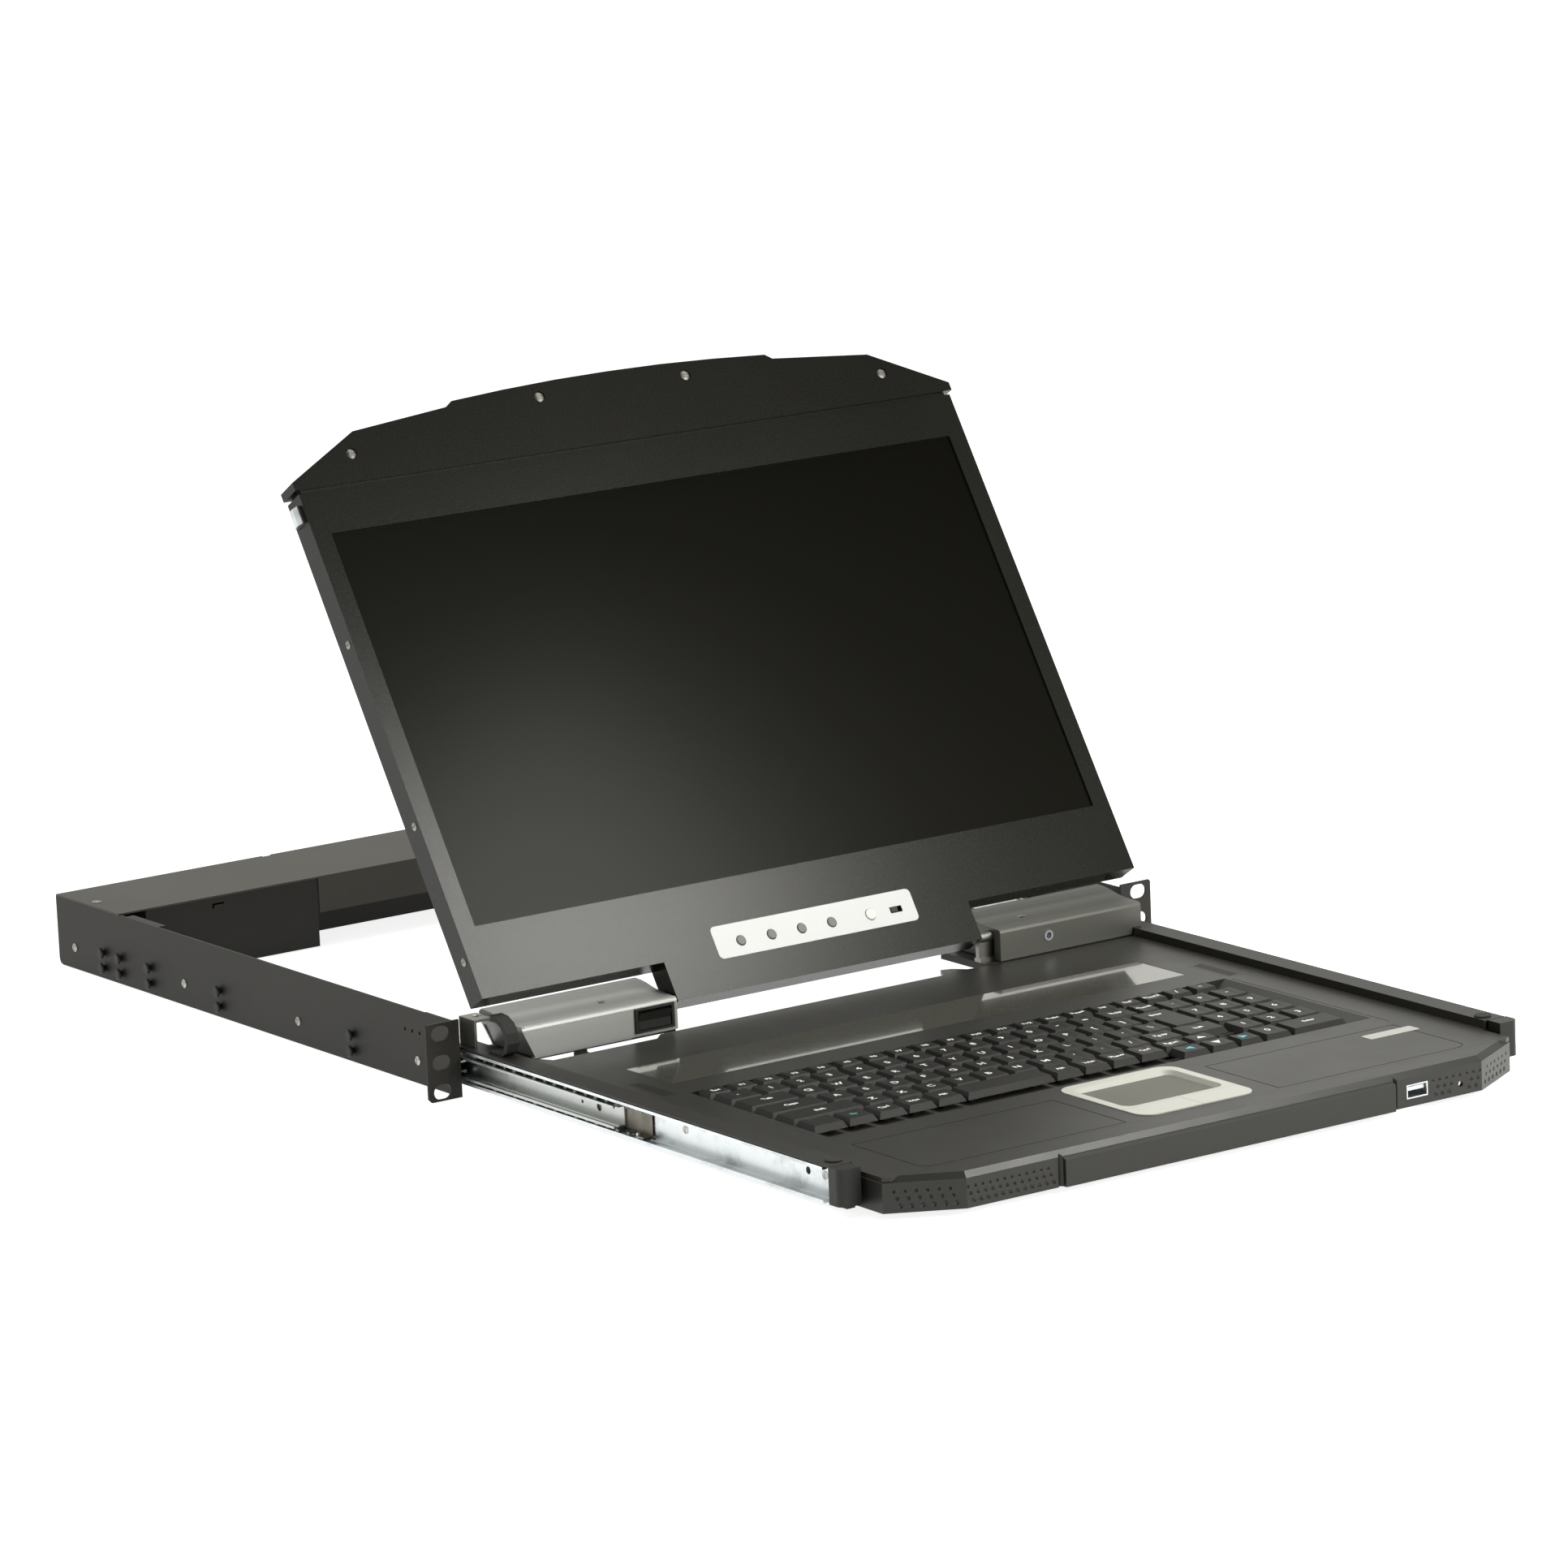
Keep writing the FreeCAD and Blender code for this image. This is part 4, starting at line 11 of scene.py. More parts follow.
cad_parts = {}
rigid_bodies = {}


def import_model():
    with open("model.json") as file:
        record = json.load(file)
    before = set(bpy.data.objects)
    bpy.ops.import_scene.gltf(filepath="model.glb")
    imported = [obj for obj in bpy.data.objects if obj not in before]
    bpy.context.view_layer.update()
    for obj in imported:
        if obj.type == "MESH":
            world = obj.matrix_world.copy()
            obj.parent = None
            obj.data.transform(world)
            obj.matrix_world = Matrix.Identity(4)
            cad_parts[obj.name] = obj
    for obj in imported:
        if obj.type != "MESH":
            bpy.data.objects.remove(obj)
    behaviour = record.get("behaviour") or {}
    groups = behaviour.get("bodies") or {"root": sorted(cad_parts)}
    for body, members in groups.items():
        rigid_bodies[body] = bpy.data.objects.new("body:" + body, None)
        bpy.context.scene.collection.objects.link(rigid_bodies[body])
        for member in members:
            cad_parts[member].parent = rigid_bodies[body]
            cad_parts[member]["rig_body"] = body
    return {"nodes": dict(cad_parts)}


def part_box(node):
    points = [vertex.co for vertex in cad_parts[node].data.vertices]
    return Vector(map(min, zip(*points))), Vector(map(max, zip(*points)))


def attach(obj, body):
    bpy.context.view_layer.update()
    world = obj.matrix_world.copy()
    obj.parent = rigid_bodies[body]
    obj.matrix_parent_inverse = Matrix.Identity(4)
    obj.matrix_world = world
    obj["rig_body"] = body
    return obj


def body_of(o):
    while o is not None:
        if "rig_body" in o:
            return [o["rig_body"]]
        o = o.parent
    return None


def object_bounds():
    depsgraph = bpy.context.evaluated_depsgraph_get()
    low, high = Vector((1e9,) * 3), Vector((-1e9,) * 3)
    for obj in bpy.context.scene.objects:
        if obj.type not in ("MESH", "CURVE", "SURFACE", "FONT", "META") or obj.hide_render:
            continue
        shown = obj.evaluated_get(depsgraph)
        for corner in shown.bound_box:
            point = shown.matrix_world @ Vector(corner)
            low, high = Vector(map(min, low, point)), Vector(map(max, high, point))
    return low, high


MM = 0.001

# Camera: long lens, from the front left and a little above, turned slightly about its own axis.
CAMERA_PLACE = (-2.2450, -3.2516, 0.9533)
CAMERA_AZIMUTH = math.radians(-34.556)
CAMERA_RISE = math.radians(11.989)
CAMERA_ROLL = math.radians(-2.468)
CAMERA_LENS = 171.2
SENSOR_WIDTH = 36.0
FAR_CLIP = 60.0

# Light: white where it is seen, softer and a little warm as light on the object.
WARM = (1.0, 0.995, 0.94)
WHITE = (1.0, 1.0, 1.0)
AMBIENT = 0.32
MIRRORED_FRONT = 0.08         # what shiny faces see on the viewer's side
MIRRORED_BACK = 0.9           # and behind the object
MIRROR_FADE = (-0.35, 0.45)   # Y of the direction, over which the one turns into the other
LAMPS = (                     # name, place, aim, size, power
    ("key", (0.8, -1.5, 0.7), (0.0, -0.2, 0.05), (0.9, 0.9), 12.0),
    ("side", (-1.3, -0.6, 0.6), (-0.2, 0.1, 0.05), (0.5, 0.5), 1.1),
    ("card", (0.36, -0.56, 0.70), (-0.2, -0.05, 0.08), (0.25, 0.25), 4.0),
    ("top", (0.1, 0.7, 1.9), (0.0, -0.15, 0.0), (2.0, 1.2), 14.0),
)

# Floor: pale, shown white where it is seen, with a faint shadow.
FLOOR_COLOUR = (0.8, 0.8, 0.8)
FLOOR_ROUGH = 0.9
FLOOR_GAP = 0.6 * MM
FLOOR_HALF = 30.0
FLOOR_GLOW = 0.85

# Grain of the finishes: how far it stands up.
PAINT_GRAIN = 0.06 * MM
SMOOTH_GRAIN = 0.03 * MM
BRAID_GRAIN = 0.3 * MM
COAT_ROUGH = 0.03             # roughness of a clear coat

# Legends printed on the keys.
LEGEND_SIZE = 5.8 * MM        # a single sign
WORD_LEGEND = 4.0 * MM        # a short word
SMALL_LEGEND = 3.6 * MM       # a longer word
SHORT_WORD = 4                # signs of the longest short word
LEGEND_WEIGHT = 0.16 * MM     # thickening of the strokes
LEGEND_STEPS = 3              # steps of a curved stroke
LEGEND_LIFT = 0.05 * MM       # above the cap
LEGEND_FROM_REAR = 7.8 * MM   # from the cap's rear edge to the legend's middle
LEGEND_DEEPEST = 0.47         # the same at most, as a share of the cap's depth
FRONT_STEP = 4.0 * MM         # the bottom row's forward keys end this far in front of its mean rear edge
ABOVE_ALL = 0.2               # height from which the print is laid on the caps
WELD = 1e-6                   # points closer than this are the same

ROW_LEGENDS = {
    "keys_function_row": ("Esc F1 F2 F3 F4 F5 F6 F7 F8 F9 F10 F11 F12 "
                          "PrtSc Pause Ins Del NumLk / *").split(),
    "keys_number_row": "` 1 2 3 4 5 6 7 8 9 0 - = BkSp Home".split(),
    "keys_upper_row": "Tab Q W E R T Y U I O P [ ] Enter".split(),
    "keys_home_row": "Caps A S D F G H J K L ; ' \\".split(),
    "keys_lower_row": "Shift Z X C V B N M , . / PgUp Shift".split(),
}
BOTTOM_REAR_LEGENDS = ("", "Fn", "Ctrl", "Win", "Alt", "Alt", "Win", "Menu", "Ctrl", "PgDn", "▲")
BOTTOM_FRONT_LEGENDS = ("◄", "▼", "►")
PAD_LEGENDS = "0 Enter 1 2 3 4 5 6 7 8 9 . + -".split()
CYAN_WORDS = ("Fn", "◄", "►")

# Bare label on the wrist rest: from x to x, and from y to y behind the deck's front edge.
LABEL_X = (147.0 * MM, 180.0 * MM)
LABEL_Y = (48.0 * MM, 57.0 * MM)
LABEL_THICK = 0.12 * MM
LABEL_CORNER = 1.0 * MM
LABEL_CORNER_STEPS = 4

# Width of the rounding of small edges that catch light, in mm.
SOFT_EDGES = {
    0.8: ("upper_handle",),
    0.6: ("front_fascia",),
    0.5: ("keyboard_deck", "lcd_bezel"),
    0.3: ("touchpad_bezel", "touch_button_left", "touch_button_right", "rocker_switch",
          "corner_blocks"),
    0.25: ("keys_function_row", "keys_number_row", "keys_upper_row", "keys_home_row",
           "keys_lower_row", "keys_bottom_row", "key_space_bar", "keys_keypad", "control_plate"),
    0.2: ("hinge_covers", "case_side_right", "case_side_left", "drawer_tray", "rest_pads",
          "side_latch_left", "side_latch_right"),
}
SOFT_EDGE_STEPS = 2
SOFT_EDGE_ANGLE = math.radians(35.0)

# Nodes whose finish differs from the other pieces of their slot.
OWN_FINISH = {
    "hinge_covers": "cover_paint",
    "inner_ball_cages": "cage_steel",
    "outer_ball_cages": "cage_steel",
    "lcd_screws": "plate_metal",
    "rear_cover": "lid_paint",
    "slide_middle_members": "zinc_dull",
}


# Materials

def finish_material(name, colour, rough, **more):
    """A Principled material; more may give metallic, specular, coat."""
    m = bpy.data.materials.new(name)
    m.use_nodes = True
    shader = m.node_tree.nodes["Principled BSDF"]
    shader.inputs["Base Color"].default_value = (*colour, 1.0)
    shader.inputs["Roughness"].default_value = rough
    shader.inputs["Metallic"].default_value = more.get("metallic", 0.0)
    shader.inputs["Specular IOR Level"].default_value = more.get("specular", 0.5)
    shader.inputs["Coat Weight"].default_value = more.get("coat", 0.0)
    shader.inputs["Coat Roughness"].default_value = COAT_ROUGH
    return m, shader


def node(m, kind, **inputs):
    """A new node of a material with some of its inputs set."""
    n = m.node_tree.nodes.new(kind)
    for key, value in inputs.items():
        n.inputs[key.replace("_", " ")].default_value = value
    return n


def link(m, out, into):
    m.node_tree.links.new(out, into)


def mapped(m, **settings):
    """Object coordinates through a mapping with these settings."""
    coords = m.node_tree.nodes.new("ShaderNodeTexCoord")
    mapping = node(m, "ShaderNodeMapping", **settings)
    link(m, coords.outputs["Object"], mapping.inputs["Vector"])
    return mapping


def object_coords(m, scale=(1.0, 1.0, 1.0)):
    """Object coordinates, stretched by scale."""
    return mapped(m, Scale=scale).outputs["Vector"]


def noise(m, vector, scale, detail=3.0, rough=0.55):
    n = node(m, "ShaderNodeTexNoise", Scale=scale, Detail=detail, Roughness=rough)
    link(m, vector, n.inputs["Vector"])
    return n.outputs["Fac"]


def ramp(m, value, stops):
    """Colour ramp from (place, colour) stops."""
    r = m.node_tree.nodes.new("ShaderNodeValToRGB")
    points = r.color_ramp.elements
    while len(points) < len(stops):
        points.new(0.5)
    for point, (place, colour) in zip(points, stops):
        point.position = place
        point.color = (*colour, 1.0)
    link(m, value, r.inputs["Fac"])
    return r.outputs["Color"]


def grey(v):
    return (v, v, v)


def shade(colour, k):
    return tuple(c * k for c in colour)


def bump(m, shader, height, strength, distance):
    b = node(m, "ShaderNodeBump", Strength=strength, Distance=distance)
    link(m, height, b.inputs["Height"])
    link(m, b.outputs["Normal"], shader.inputs["Normal"])


def range_of(m, value, low, high):
    """value 0..1 turned into low..high."""
    n = node(m, "ShaderNodeMapRange", To_Min=low, To_Max=high)
    link(m, value, n.inputs["Value"])
    return n.outputs["Result"]


def vary_roughness(m, shader, value, rough, less, more):
    """Roughness from rough - less to rough + more as value goes from 0 to 1."""
    link(m, range_of(m, value, rough - less, rough + more), shader.inputs["Roughness"])


def powder_coat(name, colour, rough, grain=1400.0, depth=0.35, **more):
    """Fine textured paint with a faint mottle."""
    m, shader = finish_material(name, colour, rough, **more)
    coords = object_coords(m)
    fine = noise(m, coords, scale=grain, detail=2.0, rough=0.6)
    mottle = noise(m, coords, scale=9.0, detail=4.0)
    tones = [(0.3, shade(colour, 0.86)), (0.7, shade(colour, 1.16))]
    link(m, ramp(m, mottle, tones), shader.inputs["Base Color"])
    vary_roughness(m, shader, fine, rough, less=0.06, more=0.1)
    bump(m, shader, fine, strength=depth, distance=PAINT_GRAIN)
    return m


def plastic(name, colour, rough, grain=2600.0, depth=0.12, **more):
    """Moulded plastic with a fine grain and slight handling marks."""
    m, shader = finish_material(name, colour, rough, **more)
    coords = object_coords(m)
    fine = noise(m, coords, scale=grain, detail=1.0, rough=0.5)
    marks = noise(m, coords, scale=26.0, detail=5.0, rough=0.62)
    vary_roughness(m, shader, marks, rough, less=0.05, more=0.07)
    bump(m, shader, fine, strength=depth, distance=SMOOTH_GRAIN)
    return m


def sheet_metal(name, colour, rough, smudge, drawn=(3.0, 900.0, 900.0)):
    """Plated metal with dark smudges and faint streaks, long on the axis with a small value in drawn."""
    m, shader = finish_material(name, colour, rough, metallic=1.0)
    streaks = noise(m, object_coords(m, drawn), scale=1.0, rough=0.6)
    spots = noise(m, object_coords(m), scale=34.0, detail=6.0, rough=0.7)
    tones = [(0.36, shade(colour, smudge)), (0.5, colour), (0.75, shade(colour, 1.08))]
    link(m, ramp(m, spots, tones), shader.inputs["Base Color"])
    vary_roughness(m, shader, streaks, rough, less=0.08, more=0.12)
    bump(m, shader, streaks, strength=0.08, distance=SMOOTH_GRAIN)
    return m


def woven(name, colour):
    """Braided sleeve: crossed strands, with painted shade in the hollows between them and a painted sheen
    on their crests.
    """
    m, shader = finish_material(name, colour, rough=0.62)
    strands = []
    for turn in (0.6, -0.6):
        turned = mapped(m, Rotation=(turn, turn, turn))
        wave = node(m, "ShaderNodeTexWave", Scale=340.0, Distortion=0.4)
        link(m, turned.outputs["Vector"], wave.inputs["Vector"])
        strands.append(wave.outputs["Fac"])
    cross = m.node_tree.nodes.new("ShaderNodeMath")
    cross.operation = "MULTIPLY"
    for strand, socket in zip(strands, cross.inputs):
        link(m, strand, socket)
    height = cross.outputs["Value"]
    # Painted shade and sheen: the colour follows the weave's height, darker in the hollows between
    # strands and lighter on their crests.
    tones = [(0.05, shade(colour, 0.35)), (0.6, shade(colour, 1.9))]
    link(m, ramp(m, height, tones), shader.inputs["Base Color"])
    bump(m, shader, height, strength=0.9, distance=BRAID_GRAIN)
    return m


def screen_glass(name):
    """Matt dark display with a painted reflection: a soft fall of lighter colour from its lower left
    corner.
    """
    m, shader = finish_material(name, (0.008, 0.0078, 0.006), rough=0.24, specular=0.05)
    lo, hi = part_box("lcd_panel")
    mapping = mapped(m, Location=tuple(lo), Scale=tuple(b - a for a, b in zip(lo, hi)))
    mapping.vector_type = "TEXTURE"
    parts = m.node_tree.nodes.new("ShaderNodeSeparateXYZ")
    link(m, mapping.outputs["Vector"], parts.inputs["Vector"])
    # Painted reflection of a lamp: the display's colour is lighter at its left and lower end, darker to
    # the right and at the top.
    tones = [(0.0, (0.016, 0.0164, 0.0132)), (0.42, (0.011, 0.0108, 0.0084)),
             (1.0, (0.009, 0.0087, 0.0066))]
    painted_glow_across = ramp(m, parts.outputs["X"], tones)
    up = ramp(m, parts.outputs["Z"], [(0.0, grey(1.0)), (0.5, grey(0.7)), (1.0, grey(0.5))])
    painted_glow = m.node_tree.nodes.new("ShaderNodeMix")
    painted_glow.data_type = "RGBA"
    painted_glow.blend_type = "MULTIPLY"
    painted_glow.inputs["Factor"].default_value = 1.0
    link(m, painted_glow_across, painted_glow.inputs["A"])
    link(m, up, painted_glow.inputs["B"])
    link(m, painted_glow.outputs["Result"], shader.inputs["Base Color"])
    return m


def cover_paint_with_painted_highlight(name):
    """Fine textured metallic paint with a painted highlight: lighter towards the left end of the hinge
    covers.
    """
    rough = 0.44
    m, shader = finish_material(name, (0.2, 0.2, 0.18), rough, metallic=0.5)
    lo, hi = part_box("hinge_covers")
    coords = m.node_tree.nodes.new("ShaderNodeTexCoord")
    parts = m.node_tree.nodes.new("ShaderNodeSeparateXYZ")
    link(m, coords.outputs["Object"], parts.inputs["Vector"])
    painted_highlight_along = node(m, "ShaderNodeMapRange", From_Min=lo[0], From_Max=hi[0])
    link(m, parts.outputs["X"], painted_highlight_along.inputs["Value"])
    # Painted highlight: the left end of the covers is painted light grey, fading to the darker paint
    # towards the right.
    tones = [(0.0, (0.50, 0.51, 0.50)), (0.40, (0.34, 0.345, 0.33)),
             (0.58, (0.17, 0.17, 0.153)), (1.0, (0.13, 0.13, 0.116))]
    link(m, ramp(m, painted_highlight_along.outputs["Result"], tones), shader.inputs["Base Color"])
    fine = noise(m, coords.outputs["Object"], scale=1800.0, detail=2.0, rough=0.6)
    vary_roughness(m, shader, fine, rough, less=0.06, more=0.1)
    bump(m, shader, fine, strength=0.15, distance=PAINT_GRAIN)
    return m


def plain(name, colour, rough=0.5, **more):
    """One even colour, for inks and polished balls."""
    return finish_material(name, colour, rough, **more)[0]


# Material of each slot that the record names, of the nodes with a finish of their own, and the inks.
FINISHES = {
    "case_paint": (powder_coat, dict(colour=(0.024, 0.0225, 0.0185), rough=0.5, specular=0.3)),
    "lid_paint": (powder_coat, dict(colour=(0.085, 0.0815, 0.068), rough=0.5, specular=0.34)),
    "drawer_paint": (powder_coat, dict(colour=(0.026, 0.0252, 0.0222), rough=0.44, specular=0.32)),
    "bezel_paint": (powder_coat, dict(colour=(0.011, 0.0108, 0.0086), rough=0.25, grain=1800.0, depth=0.2,
                                      specular=0.25)),
    # The hinge covers' paint carries a painted highlight at their left end.
    "cover_paint": (cover_paint_with_painted_highlight, {}),
    "zinc": (sheet_metal, dict(colour=(0.68, 0.715, 0.735), rough=0.33, smudge=0.72)),
    "zinc_dull": (sheet_metal, dict(colour=(0.50, 0.52, 0.51), rough=0.36, smudge=0.7)),
    "cage_steel": (sheet_metal, dict(colour=(0.20, 0.19, 0.165), rough=0.42, smudge=0.6)),
    "screw_zinc": (sheet_metal, dict(colour=(0.46, 0.46, 0.43), rough=0.28, smudge=0.6,
                                     drawn=(400.0, 400.0, 400.0))),
    "ball_steel": (plain, dict(colour=(0.85, 0.85, 0.83), rough=0.12, metallic=1.0)),
    "plate_metal": (sheet_metal, dict(colour=(0.30, 0.295, 0.27), rough=0.42, smudge=0.8)),
    "stud_black": (plastic, dict(colour=(0.014, 0.0136, 0.012), rough=0.4, specular=0.3)),
    "deck_plastic": (plastic, dict(colour=(0.027, 0.0265, 0.0235), rough=0.36, depth=0.2, specular=0.36)),
    "key_plastic": (plastic, dict(colour=(0.009, 0.0087, 0.0072), rough=0.42, depth=0.15, specular=0.28)),
    "black_plastic": (plastic, dict(colour=(0.013, 0.0127, 0.0108), rough=0.42, specular=0.35)),
    "board": (plastic, dict(colour=(0.02, 0.10, 0.035), rough=0.45)),
    "smoked": (plastic, dict(colour=(0.10, 0.10, 0.086), rough=0.1, grain=900.0, depth=0.0, specular=0.8,
                             coat=1.0)),
    "silver_plastic": (plastic, dict(colour=(0.58, 0.58, 0.535), rough=0.34)),
    "touch_grey": (plastic, dict(colour=(0.135, 0.135, 0.115), rough=0.5, specular=0.35)),
    "pad_rubber": (plastic, dict(colour=(0.014, 0.0137, 0.012), rough=0.75)),
    # The display's colour carries a painted reflection at its lower left.
    "panel_glass": (screen_glass, {}),
    "label_silver": (plastic, dict(colour=(0.74, 0.745, 0.755), rough=0.36)),
    "button_grey": (plastic, dict(colour=(0.16, 0.165, 0.155), rough=0.42)),
    "white_plastic": (plastic, dict(colour=(0.80, 0.80, 0.77), rough=0.4)),
    # The sleeve's colour carries painted shade and sheen following its weave.
    "sleeve": (woven, dict(colour=(0.022, 0.0215, 0.020))),
    "legend_white": (plain, dict(colour=(0.93, 0.93, 0.91))),
    "legend_cyan": (plain, dict(colour=(0.12, 0.52, 0.62))),
    "label_plain": (plastic, dict(colour=(0.46, 0.46, 0.43), rough=0.3)),
}


def make_materials():
    return {name: make(name, **values) for name, (make, values) in FINISHES.items()}


def dress_nodes(frame, looks):
    """Gives every CAD node the look of its slot, and softens the edges that catch light."""
    widths = {name: width * MM for width, names in SOFT_EDGES.items() for name in names}
    for name, obj in frame["nodes"].items():
        for i, old in enumerate(obj.data.materials):
            obj.data.materials[i] = looks[OWN_FINISH.get(name, old.name.split(".")[0])]
        if name in widths:
            soft = obj.modifiers.new("soft_edges", "BEVEL")
            soft.width = widths[name]
            soft.segments = SOFT_EDGE_STEPS
            soft.limit_method = "ANGLE"
            soft.angle_limit = SOFT_EDGE_ANGLE
            soft.harden_normals = False
            soft.use_clamp_overlap = True


# Print

def new_piece(name, bm, look):
    """Turns bm into an object of the scene."""
    mesh = bpy.data.meshes.new(name)
    bm.to_mesh(mesh)
    bm.free()
    mesh.materials.append(look)
    piece = bpy.data.objects.new(name, mesh)
    bpy.context.scene.collection.objects.link(piece)
    return piece


def islands(obj):
    """Corner pairs (low, high) of the separate solids of a node, found by welding its mesh."""
    bm = bmesh.new()
    bm.from_mesh(obj.data)
    bmesh.ops.remove_doubles(bm, verts=bm.verts, dist=WELD)
    seen = set()
    found = []
    for v in bm.verts:
        if v in seen:
            continue
        group = []
        todo = [v]
        seen.add(v)
        while todo:
            w = todo.pop()
            group.append(w.co.copy())
            for e in w.link_edges:
                u = e.other_vert(w)
                if u not in seen:
                    seen.add(u)
                    todo.append(u)
        found.append((Vector(map(min, zip(*group))), Vector(map(max, zip(*group)))))
    bm.free()
    return found


def surface_of(obj):
    """Ray casting tree of a node's own mesh."""
    bm = bmesh.new()
    bm.from_mesh(obj.data)
    tree = BVHTree.FromBMesh(bm)
    bm.free()
    return tree


def text_mesh(text, size):
    """Flat outline mesh of a word, centred on its own box."""
    curve = bpy.data.curves.new("word", "FONT")
    curve.body = text
    curve.size = size
    curve.offset = LEGEND_WEIGHT
    curve.resolution_u = LEGEND_STEPS
    holder = bpy.data.objects.new("word", curve)
    bpy.context.scene.collection.objects.link(holder)
    bpy.context.view_layer.update()
    mesh = bpy.data.meshes.new_from_object(holder.evaluated_get(bpy.context.evaluated_depsgraph_get()))
    bpy.data.objects.remove(holder)
    bpy.data.curves.remove(curve)
    if mesh.vertices:
        xs = [v.co.x for v in mesh.vertices]
        ys = [v.co.y for v in mesh.vertices]
        middle = Vector(((min(xs) + max(xs)) / 2, (min(ys) + max(ys)) / 2, 0.0))
        mesh.transform(Matrix.Translation(-middle))
    return mesh


def print_on(name, words, tree, body, look):
    """Lays (text, size, x, y) words on the caps under them as one piece."""
    bm = bmesh.new()
    for text, size, x, y in words:
        mesh = text_mesh(text, size)
        mesh.transform(Matrix.Translation((x, y, 0.0)))
        bm.from_mesh(mesh)
        bpy.data.meshes.remove(mesh)
    for v in bm.verts:
        hit = tree.ray_cast(Vector((v.co.x, v.co.y, ABOVE_ALL)), Vector((0.0, 0.0, -1.0)))
        v.co.z = (hit[0].z if hit[0] else 0.0) + LEGEND_LIFT
    piece = new_piece(name, bm, look)
    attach(piece, body)


def word_size(text):
    if len(text) == 1:
        return LEGEND_SIZE
    return WORD_LEGEND if len(text) <= SHORT_WORD else SMALL_LEGEND


def place_words(legends, caps):
    """(text, size, x, y) of each legend, a set way in from the rear edge of its cap."""
    words = []
    for text, (low, high) in zip(legends, caps):
        if text:
            x = (low.x + high.x) / 2
            y = high.y - min(LEGEND_FROM_REAR, LEGEND_DEEPEST * (high.y - low.y))
            words.append((text, word_size(text), x, y))
    return words


def print_keys(name, words, frame, looks):
    """Prints words on one row of keys, in white and in cyan."""
    cap = frame["nodes"][name]
    tree = surface_of(cap)
    body = body_of(cap)[0]
    white = [w for w in words if w[0] not in CYAN_WORDS]
    cyan = [w for w in words if w[0] in CYAN_WORDS]
    print_on(name + "_print", white, tree, body, looks["legend_white"])
    if cyan:
        print_on(name + "_cyan_print", cyan, tree, body, looks["legend_cyan"])


def key_legends(frame, looks):
    """Legends of all keys; each row's print rides with its keys."""
    def caps_of(name, order=lambda cap: cap[0].x):
        return sorted(islands(frame["nodes"][name]), key=order)

    for name, legends in ROW_LEGENDS.items():
        print_keys(name, place_words(legends, caps_of(name)), frame, looks)
    caps = caps_of("keys_bottom_row")
    split = sum(high.y for _, high in caps) / len(caps) - FRONT_STEP
    rear = [cap for cap in caps if cap[1].y > split]
    front = [cap for cap in caps if cap[1].y <= split]
    words = place_words(BOTTOM_REAR_LEGENDS, rear) + place_words(BOTTOM_FRONT_LEGENDS, front)
    print_keys("keys_bottom_row", words, frame, looks)
    caps = caps_of("keys_keypad", lambda cap: (round(cap[0].y, 3), cap[0].x))
    print_keys("keys_keypad", place_words(PAD_LEGENDS, caps), frame, looks)


def blank_label(looks):
    """Bare foil label on the wrist rest."""
    lo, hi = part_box("keyboard_deck")
    (x0, x1), (y0, y1) = LABEL_X, (lo[1] + y for y in LABEL_Y)
    middle = ((x0 + x1) / 2, (y0 + y1) / 2, hi[2])
    size = (x1 - x0, y1 - y0, LABEL_THICK)
    bm = bmesh.new()
    bmesh.ops.create_cube(bm, size=1.0)
    for v in bm.verts:
        v.co = [m + c * s for m, c, s in zip(middle, v.co, size)]
    corners = [e for e in bm.edges if abs(e.verts[0].co.z - e.verts[1].co.z) > WELD]
    bmesh.ops.bevel(bm, geom=corners, offset=LABEL_CORNER, segments=LABEL_CORNER_STEPS, profile=0.5,
                    affect="EDGES")
    piece = new_piece("blank_label", bm, looks["label_plain"])
    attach(piece, "drawer")


# Stage

def camera():
    """The long lens camera at the viewing angle."""
    sa, ca = math.sin(CAMERA_AZIMUTH), math.cos(CAMERA_AZIMUTH)
    se, ce = math.sin(CAMERA_RISE), math.cos(CAMERA_RISE)
    back = Vector((sa * ce, -ca * ce, se))
    level = Vector((ca, sa, 0.0))
    rise = back.cross(level)
    right = math.cos(CAMERA_ROLL) * level + math.sin(CAMERA_ROLL) * rise
    up = -math.sin(CAMERA_ROLL) * level + math.cos(CAMERA_ROLL) * rise
    data = bpy.data.cameras.new("camera")
    data.lens = CAMERA_LENS
    data.sensor_width = SENSOR_WIDTH
    data.clip_end = FAR_CLIP
    eye = bpy.data.objects.new("camera", data)
    eye.matrix_world = Matrix((
        (right.x, up.x, back.x, CAMERA_PLACE[0]),
        (right.y, up.y, back.y, CAMERA_PLACE[1]),
        (right.z, up.z, back.z, CAMERA_PLACE[2]),
        (0.0, 0.0, 0.0, 1.0)))
    bpy.context.scene.collection.objects.link(eye)
    bpy.context.scene.camera = eye


def seen_ray(tree):
    """1 for camera, glossy and transmission rays, 0 for the light on the object."""
    path = tree.nodes.new("ShaderNodeLightPath")
    total = path.outputs["Is Camera Ray"]
    for name in ("Is Glossy Ray", "Is Transmission Ray"):
        largest = tree.nodes.new("ShaderNodeMath")
        largest.operation = "MAXIMUM"
        tree.links.new(total, largest.inputs[0])
        tree.links.new(path.outputs[name], largest.inputs[1])
        total = largest.outputs["Value"]
    return total


def mix_value(tree, factor, low, high):
    """low where factor is 0 and high where it is 1; each is a number or a socket."""
    mix = tree.nodes.new("ShaderNodeMix")
    tree.links.new(factor, mix.inputs["Factor"])
    for socket, value in ((mix.inputs["A"], low), (mix.inputs["B"], high)):
        if isinstance(value, float):
            socket.default_value = value
        else:
            tree.links.new(value, socket)
    return mix.outputs["Result"]


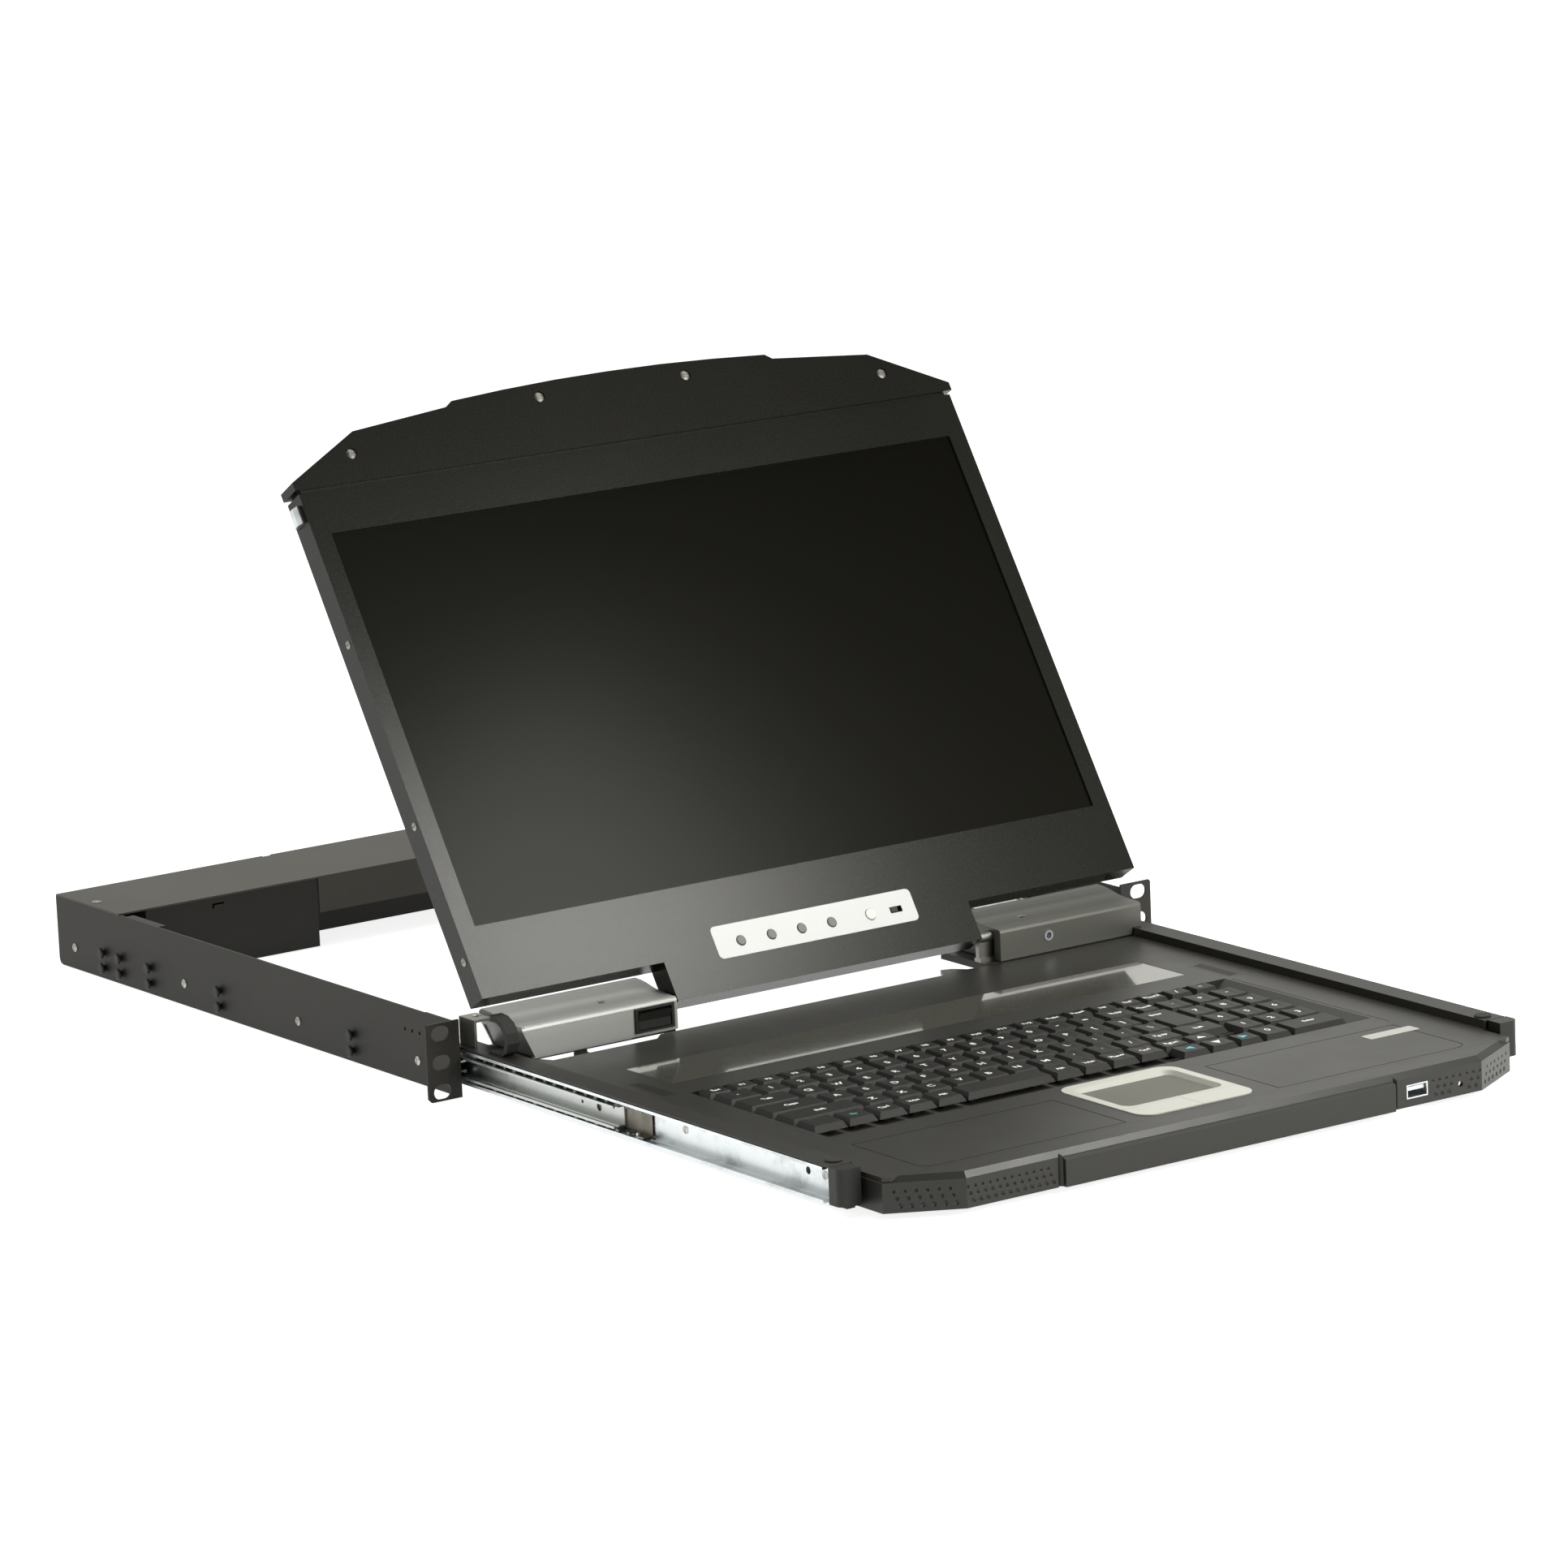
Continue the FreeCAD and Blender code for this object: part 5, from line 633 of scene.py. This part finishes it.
def world():
    """White where seen; in reflections dark on the viewer's side and bright behind; softer as light."""
    w = bpy.data.worlds.new("studio")
    w.use_nodes = True
    tree = w.node_tree
    shader = tree.nodes["Background"]
    path = tree.nodes.new("ShaderNodeLightPath")
    coords = tree.nodes.new("ShaderNodeTexCoord")
    axes = tree.nodes.new("ShaderNodeSeparateXYZ")
    tree.links.new(coords.outputs["Generated"], axes.inputs["Vector"])
    mirrored = tree.nodes.new("ShaderNodeMapRange")
    mirrored.interpolation_type = "SMOOTHSTEP"
    names = ("From Min", "From Max", "To Min", "To Max")
    for key, value in zip(names, (*MIRROR_FADE, MIRRORED_FRONT, MIRRORED_BACK)):
        mirrored.inputs[key].default_value = value
    tree.links.new(axes.outputs["Y"], mirrored.inputs["Value"])
    level = mix_value(tree, path.outputs["Is Glossy Ray"], AMBIENT, mirrored.outputs["Result"])
    level = mix_value(tree, path.outputs["Is Transmission Ray"], level, 1.0)
    level = mix_value(tree, path.outputs["Is Camera Ray"], level, 1.0)
    tree.links.new(level, shader.inputs["Strength"])
    tint = tree.nodes.new("ShaderNodeMix")
    tint.data_type = "RGBA"
    tint.inputs["A"].default_value = (*WARM, 1.0)
    tint.inputs["B"].default_value = (*WHITE, 1.0)
    tree.links.new(path.outputs["Is Camera Ray"], tint.inputs["Factor"])
    tree.links.new(tint.outputs["Result"], shader.inputs["Color"])
    bpy.context.scene.world = w


def floor(lowest):
    """Pale floor that shows white and keeps a faint shadow."""
    half = FLOOR_HALF
    corners = [(-half, -half, 0), (half, -half, 0), (half, half, 0), (-half, half, 0)]
    mesh = bpy.data.meshes.new("floor")
    mesh.from_pydata(corners, [], [(0, 1, 2, 3)])
    obj = bpy.data.objects.new("floor", mesh)
    obj.location.z = lowest - FLOOR_GAP
    m, shader = finish_material("floor", FLOOR_COLOUR, FLOOR_ROUGH, specular=0.0)
    shader.inputs["Emission Color"].default_value = (*WHITE, 1.0)
    link(m, range_of(m, seen_ray(m.node_tree), 0.0, FLOOR_GLOW), shader.inputs["Emission Strength"])
    mesh.materials.append(m)
    bpy.context.scene.collection.objects.link(obj)


def lamp(name, place, aim, size, power):
    """Soft area lamp looking at aim."""
    data = bpy.data.lights.new(name, "AREA")
    data.shape = "RECTANGLE"
    data.size, data.size_y = size
    data.energy = power
    data.color = WARM
    obj = bpy.data.objects.new(name, data)
    obj.location = place
    obj.rotation_euler = (Vector(aim) - Vector(place)).to_track_quat("-Z", "Y").to_euler()
    obj.visible_camera = False
    bpy.context.scene.collection.objects.link(obj)


def main():
    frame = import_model()
    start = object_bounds()
    looks = make_materials()
    dress_nodes(frame, looks)
    key_legends(frame, looks)
    blank_label(looks)
    camera()
    world()
    floor(start[0][2])
    for values in LAMPS:
        lamp(*values)
    bpy.context.scene.view_settings.view_transform = "Standard"


main()
